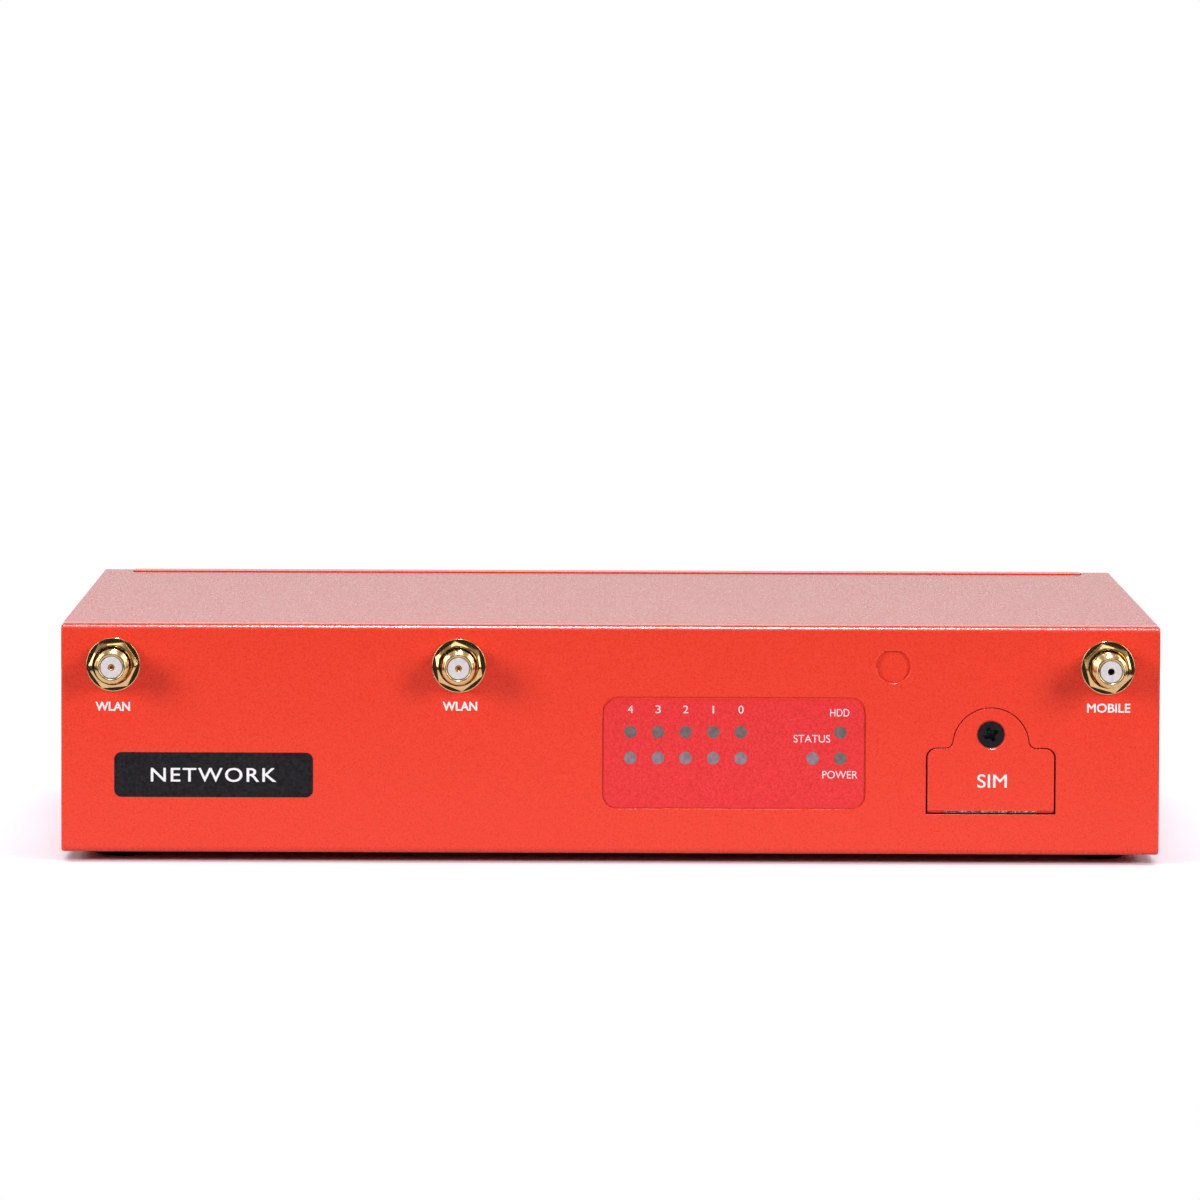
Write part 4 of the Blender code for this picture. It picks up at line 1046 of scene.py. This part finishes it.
def add_video_jack():
    """A flat port with bevelled lower corners, a tongue and ten contacts."""
    low = ON_BOARD + 0.7
    outline = shifted([(-5.2, 0), (5.2, 0), (7.0, 1.7), (7.0, 4.5), (-7.0, 4.5), (-7.0, 1.7)], VIDEO_X, low)
    shell = cut(shell_block(VIDEO_X, VIDEO_SIZE, 0.3), back_shape(outline, JACK_BACK - 9, JACK_BACK, -0.1))
    remade("video_jack", shell, PLATED)
    tongue_bar = socket_bar(VIDEO_X, 5.5, 10, 1.5, low + 2.0, low + 3.0, 0.15)
    piece("video_jack_tongue", tongue_bar, BLACK_PLASTIC)
    pins = [socket_bar(VIDEO_X - 4.4 + i, 0.2, 8, 2, low + 1.92, low + 2.05, 0.03, 1) for i in range(10)]
    piece("video_jack_pins", merged(*pins), GOLD)


def add_dc_inlet():
    place = at(DC_X, JACK_BACK, ON_BOARD + 5.5, "back")
    hollow = placed(turned([(0, -10), (3.2, -10), (3.2, -0.4), (3.6, 0.1), (0, 0.1)]), place)
    remade("dc_inlet", cut(shell_block(DC_X, DC_SIZE, 0.4), hollow), BLACK_PLASTIC)
    pin = turned([(0, -10.5), (1.25, -10.5), (1.25, -1.5), (1.0, -1.1), (0.6, -1.0), (0, -1.0)], 32)
    piece("dc_inlet_pin", placed(pin, place), PLATED)


def add_buttons():
    """Round caps with a slight dish."""
    buttons = (("power_button", POWER_X, POWER_HEIGHT, 3.2, DEPTH + 1.5),
               ("reset_button", RESET_X, RESET_HEIGHT, 0.75, DEPTH - 1.4))
    length = 4.5
    for name, x, height, radius, back in buttons:
        dish = radius * 0.62
        profile = [(0, 0), (radius, 0), (radius, length - 0.3), (radius - 0.09, length - 0.09),
                   (radius - 0.3, length), (dish + 0.1, length), (dish, length - 0.04),
                   (dish * 0.6, length - 0.16), (0, length - 0.2)]
        cap = placed(turned(profile, 64), at(x, back - length, ON_BOARD + height, "back"))
        remade(name, cap, BLACK_PLASTIC, name)


def add_rear_lettering():
    """Seen from behind, x runs the other way."""
    cap, row = 1.5, 26.0
    texts = [(str(port), (-x, row), cap, digit_width(port)) for port, x in enumerate(LAN_X)]
    for text, x, z, width in (("CONSOLE", CONSOLE_X, row, 8.0), ("USB", USB_X, 27.6, 3.6),
                              ("VIDEO", VIDEO_X, row - 7, 5.6), ("RESET", RESET_X, row - 9, 5.4),
                              ("POWER", POWER_X, row - 3, 6.4), ("DC IN", DC_X, row - 3, 5.6)):
        texts.append((text, (-x, z), cap, width))
    print_on("rear_lettering", texts, at(0, DEPTH, 0, "back"), WHITE_INK)


# --- Carried-over nodes ---

# The SIM bracket gets the darkened steel, which is painted shade behind the door's gap
CARRIED = {"sim_bracket": SHADE_DARK_STEEL, "sim_socket": PLATED, "sim_card": CARD_PLASTIC,
           "power_switch": BLACK_PLASTIC, "reset_switch": BLACK_PLASTIC, "mainboard": MASK,
           "heatsink": ALUMINIUM, "memory_module": MASK, "storage_module": MASK, "wlan_module": MASK,
           "mobile_module": MASK, "coin_cell": BRIGHT}
CARRIED.update({f"{name}_pigtail": JACKET for name in ANTENNAS})
CARRIED.update({name: BRIGHT for name in NODES if name.startswith("board_screw")})


def finish_carried_nodes():
    for name, material in CARRIED.items():
        for slot in NODES[name].material_slots:
            slot.material = material


# --- Stage, light and camera ---

TARGET = Vector((0, 0, (CASE_LOW.z + CASE_HIGH.z) / 2))
# The camera's lens in millimetres, its place in case coordinates, and its yaw, pitch and roll in degrees
LENS = 247.47
CAMERA_PLACE = Vector((-8.8, -1570.5, 163.3))
CAMERA_TURN = (0.244, 4.175, 0.221)


def direction(azimuth, elevation):
    """A unit vector from the object. Azimuth 0 is its front and 90 its right."""
    a, e = math.radians(azimuth), math.radians(elevation)
    return Vector((math.sin(a) * math.cos(e), -math.cos(a) * math.cos(e), math.sin(e)))


def softbox(name, azimuth, elevation, distance, size, power, lights_for="both"):
    """A rectangular light. It can be for diffuse light alone or for reflections alone."""
    data = bpy.data.lights.new(name, "AREA")
    data.shape = "RECTANGLE"
    data.size, data.size_y = size
    data.energy = power
    light = new_object(name, data)
    away = direction(azimuth, elevation)
    light.location = TARGET + away * distance
    light.rotation_euler = away.to_track_quat("Z", "Y").to_euler()
    light.visible_camera = False
    light.visible_diffuse = lights_for != "reflections"
    light.visible_glossy = lights_for != "diffuse"
    return light


def link_light(light, objects, state):
    """Lights these objects alone, or everything but them."""
    receivers = bpy.data.collections.new(f"{light.name}_receivers")
    for obj in objects:
        receivers.objects.link(obj)
    for member in receivers.collection_objects:
        member.light_linking.link_state = state
    light.light_linking.receiver_collection = receivers


def add_disc(name, radius, height, colour):
    bm = bmesh.new()
    bm.faces.new([bm.verts.new(p) for p in circle(radius, height, 64)])
    disc = new_object(name, bpy.data.meshes.new(name))
    bm.to_mesh(disc.data)
    bm.free()
    shader = Shader(name, None, roughness=0.9, Specular_IOR_Level=0.2)
    darker = tuple(channel * 0.98 for channel in colour)
    shader.colour(shader.ramp(shader.noise(40), (0.3, darker), (0.7, colour)))
    disc.data.materials.append(shader.material)
    return disc


def add_floor():
    """The white floor that the camera sees, and a greyer one that the case is lit by and mirrors.

    The greyer one ends close enough in front that nothing upright mirrors it.
    """
    seen = add_disc("floor", 0.42, 0.0, (0.90, 0.85, 0.92))
    seen.visible_diffuse = False
    seen.visible_glossy = False
    seen.visible_shadow = False
    felt = add_disc("floor_bounce", 0.25, -0.0002, (0.50, 0.48, 0.50))
    felt.visible_camera = False
    return [seen, felt]


def add_sun(name, azimuth, elevation, angle, strength):
    data = bpy.data.lights.new(name, "SUN")
    data.angle = math.radians(angle)
    data.energy = strength
    light = new_object(name, data)
    light.rotation_euler = direction(azimuth, elevation).to_track_quat("Z", "Y").to_euler()
    return light


def add_floor_lights(floors):
    """The floor's own soft lights keep it paper white up to a contact shadow just under the front edge."""
    lights = [add_sun("floor_sky", 0, 90, 80, 2.9)]
    for azimuth in (-45, 0, 45):
        lights.append(add_sun(f"floor_front_{azimuth}", azimuth, 22, 16, 1.5))
    for light in lights:
        link_light(light, floors, "INCLUDE")


class WorldNodes:
    """Maths on the world's nodes."""

    def __init__(self, tree):
        self.nodes, self.links = tree.nodes, tree.links

    def add(self, kind, *inputs, **settings):
        node = self.nodes.new(kind)
        for key, value in settings.items():
            setattr(node, key, value)
        for socket, value in zip(node.inputs, inputs):
            if isinstance(value, bpy.types.NodeSocket):
                self.links.new(value, socket)
            else:
                socket.default_value = value
        return node

    def ramp(self, value, low, high, at_low, at_high):
        return self.add("ShaderNodeMapRange", value, low, high, at_low, at_high).outputs["Result"]

    def maths(self, operation, *inputs):
        return self.add("ShaderNodeMath", *inputs, operation=operation).outputs["Value"]

    def either(self, switch, when_off, when_on):
        return self.add("ShaderNodeMixShader", switch, when_off, when_on).outputs["Shader"]

    def glow(self, strength):
        return self.add("ShaderNodeBackground", (1, 1, 1, 1), strength).outputs["Background"]


def add_world():
    """White for the camera, and an even dim room for diffuse light.

    Reflections see a bright low backdrop behind the case, grey walls at its sides, a dim ceiling,
    darkness on the camera's side, and pale paper well below the horizon.
    """
    world = bpy.data.worlds.new("studio")
    bpy.context.scene.world = world
    world.use_nodes = True
    tools = WorldNodes(world.node_tree)
    place = tools.add("ShaderNodeTexCoord").outputs["Generated"]
    x, y, z = tools.add("ShaderNodeSeparateXYZ", place).outputs
    aside = tools.maths("ABSOLUTE", x)
    behind = tools.ramp(y, -0.1, 0.4, 0.0, 1.15)
    low = tools.ramp(z, 0.35, 0.75, 1.0, 0.0)
    backdrop = tools.maths("MULTIPLY", behind, low)
    walls = tools.ramp(aside, 0.5, 0.85, 0.03, 0.5)
    ceiling = tools.ramp(z, 0.3, 0.7, 0.0, 0.3)
    room = tools.maths("ADD", walls, ceiling)
    above = tools.ramp(z, -0.02, 0.02, 0.0, 1.0)
    upper = tools.maths("MULTIPLY", tools.maths("ADD", room, backdrop), above)
    lower = tools.ramp(z, -0.5, -0.35, 0.7, 0.03)
    below = tools.ramp(z, -0.02, 0.02, 1.0, 0.0)
    paper = tools.maths("MULTIPLY", lower, below)
    mirrored = tools.glow(tools.maths("ADD", upper, paper))
    rays = tools.add("ShaderNodeLightPath").outputs
    unseen = tools.either(rays["Is Glossy Ray"], tools.glow(0.15), mirrored)
    mix = tools.either(rays["Is Camera Ray"], unseen, tools.glow(1.0))
    tools.links.new(mix, world.node_tree.nodes["World Output"].inputs["Surface"])


def add_lights(floors):
    """Keys and a ceiling for diffuse light, and lights that only show in reflections.

    Of those, the overhead strip makes the front bend's glints, and the metal mirrors the panels. The back
    lights are for views from behind, and none but the floor's own lights reach the floor.
    """
    lights = [softbox("overhead", 0, 80, 1.1, (0.12, 0.2), 18, "reflections")]
    lights.append(softbox("ceiling", 0, 89, 1.2, (0.5, 0.5), 1.5, "diffuse"))
    for side, azimuth, power in ((-1, 53, 8.5), (1, 44, 7.9)):
        lights.append(softbox(f"key_{side}", azimuth * side, 17, 1.2, (0.36, 0.45), power, "diffuse"))
        lights.append(softbox(f"near_panel_{side}", 52 * side, 8, 1.2, (0.3, 0.5), 1.1, "reflections"))
        lights.append(softbox(f"far_panel_{side}", 82 * side, 35, 1.2, (0.6, 0.6), 3.2, "reflections"))
    lights.append(softbox("top_panel", 0, 50, 1.2, (0.8, 0.25), 0.8, "reflections"))
    for light in lights:
        link_light(light, floors, "EXCLUDE")
    cover = bpy.data.objects["cover_fine"]
    for side in (-1, 1):
        back = softbox(f"back_{side}", 150 * side, 25, 1.3, (0.5, 0.5), 6)
        link_light(back, [*floors, cover], "EXCLUDE")
    add_floor_lights(floors)


def add_camera():
    data = bpy.data.cameras.new("camera")
    data.sensor_width = 36
    data.lens = LENS
    data.clip_end = 50
    camera = new_object("camera", data)
    yaw, pitch, roll = (math.radians(angle) for angle in CAMERA_TURN)
    forward = Vector((math.sin(yaw) * math.cos(pitch), math.cos(yaw) * math.cos(pitch), -math.sin(pitch)))
    level = Vector((math.cos(yaw), -math.sin(yaw), 0))
    upright = level.cross(forward)
    right = level * math.cos(roll) + upright * math.sin(roll)
    top = upright * math.cos(roll) - level * math.sin(roll)
    turn = Matrix((right, top, -forward)).transposed()
    camera.matrix_world = Matrix.Translation(TO_WORLD @ CAMERA_PLACE) @ turn.to_4x4()
    bpy.context.scene.camera = camera


def build():
    add_chassis()
    add_cover()
    add_feet()
    add_screws()
    for name, (x, proud, turn) in ANTENNAS.items():
        add_antenna(name, x, proud, turn)
    add_label()
    add_light_pipe("port_light_pipe", [(x, z) for x in PORT_LAMPS_X for z in LAMP_ROWS])
    add_light_pipe("status_light_pipe", STATUS_LAMPS)
    add_sim_door()
    for port, x in enumerate(LAN_X):
        add_network_jack(f"lan_jack_{port}", x)
    add_network_jack("console_jack", CONSOLE_X)
    add_usb()
    add_video_jack()
    add_dc_inlet()
    add_buttons()
    add_front_lettering()
    add_badge()
    add_rear_lettering()
    finish_carried_nodes()


build()
add_world()
add_lights(add_floor())
add_camera()
bpy.context.scene.view_settings.view_transform = "Standard"
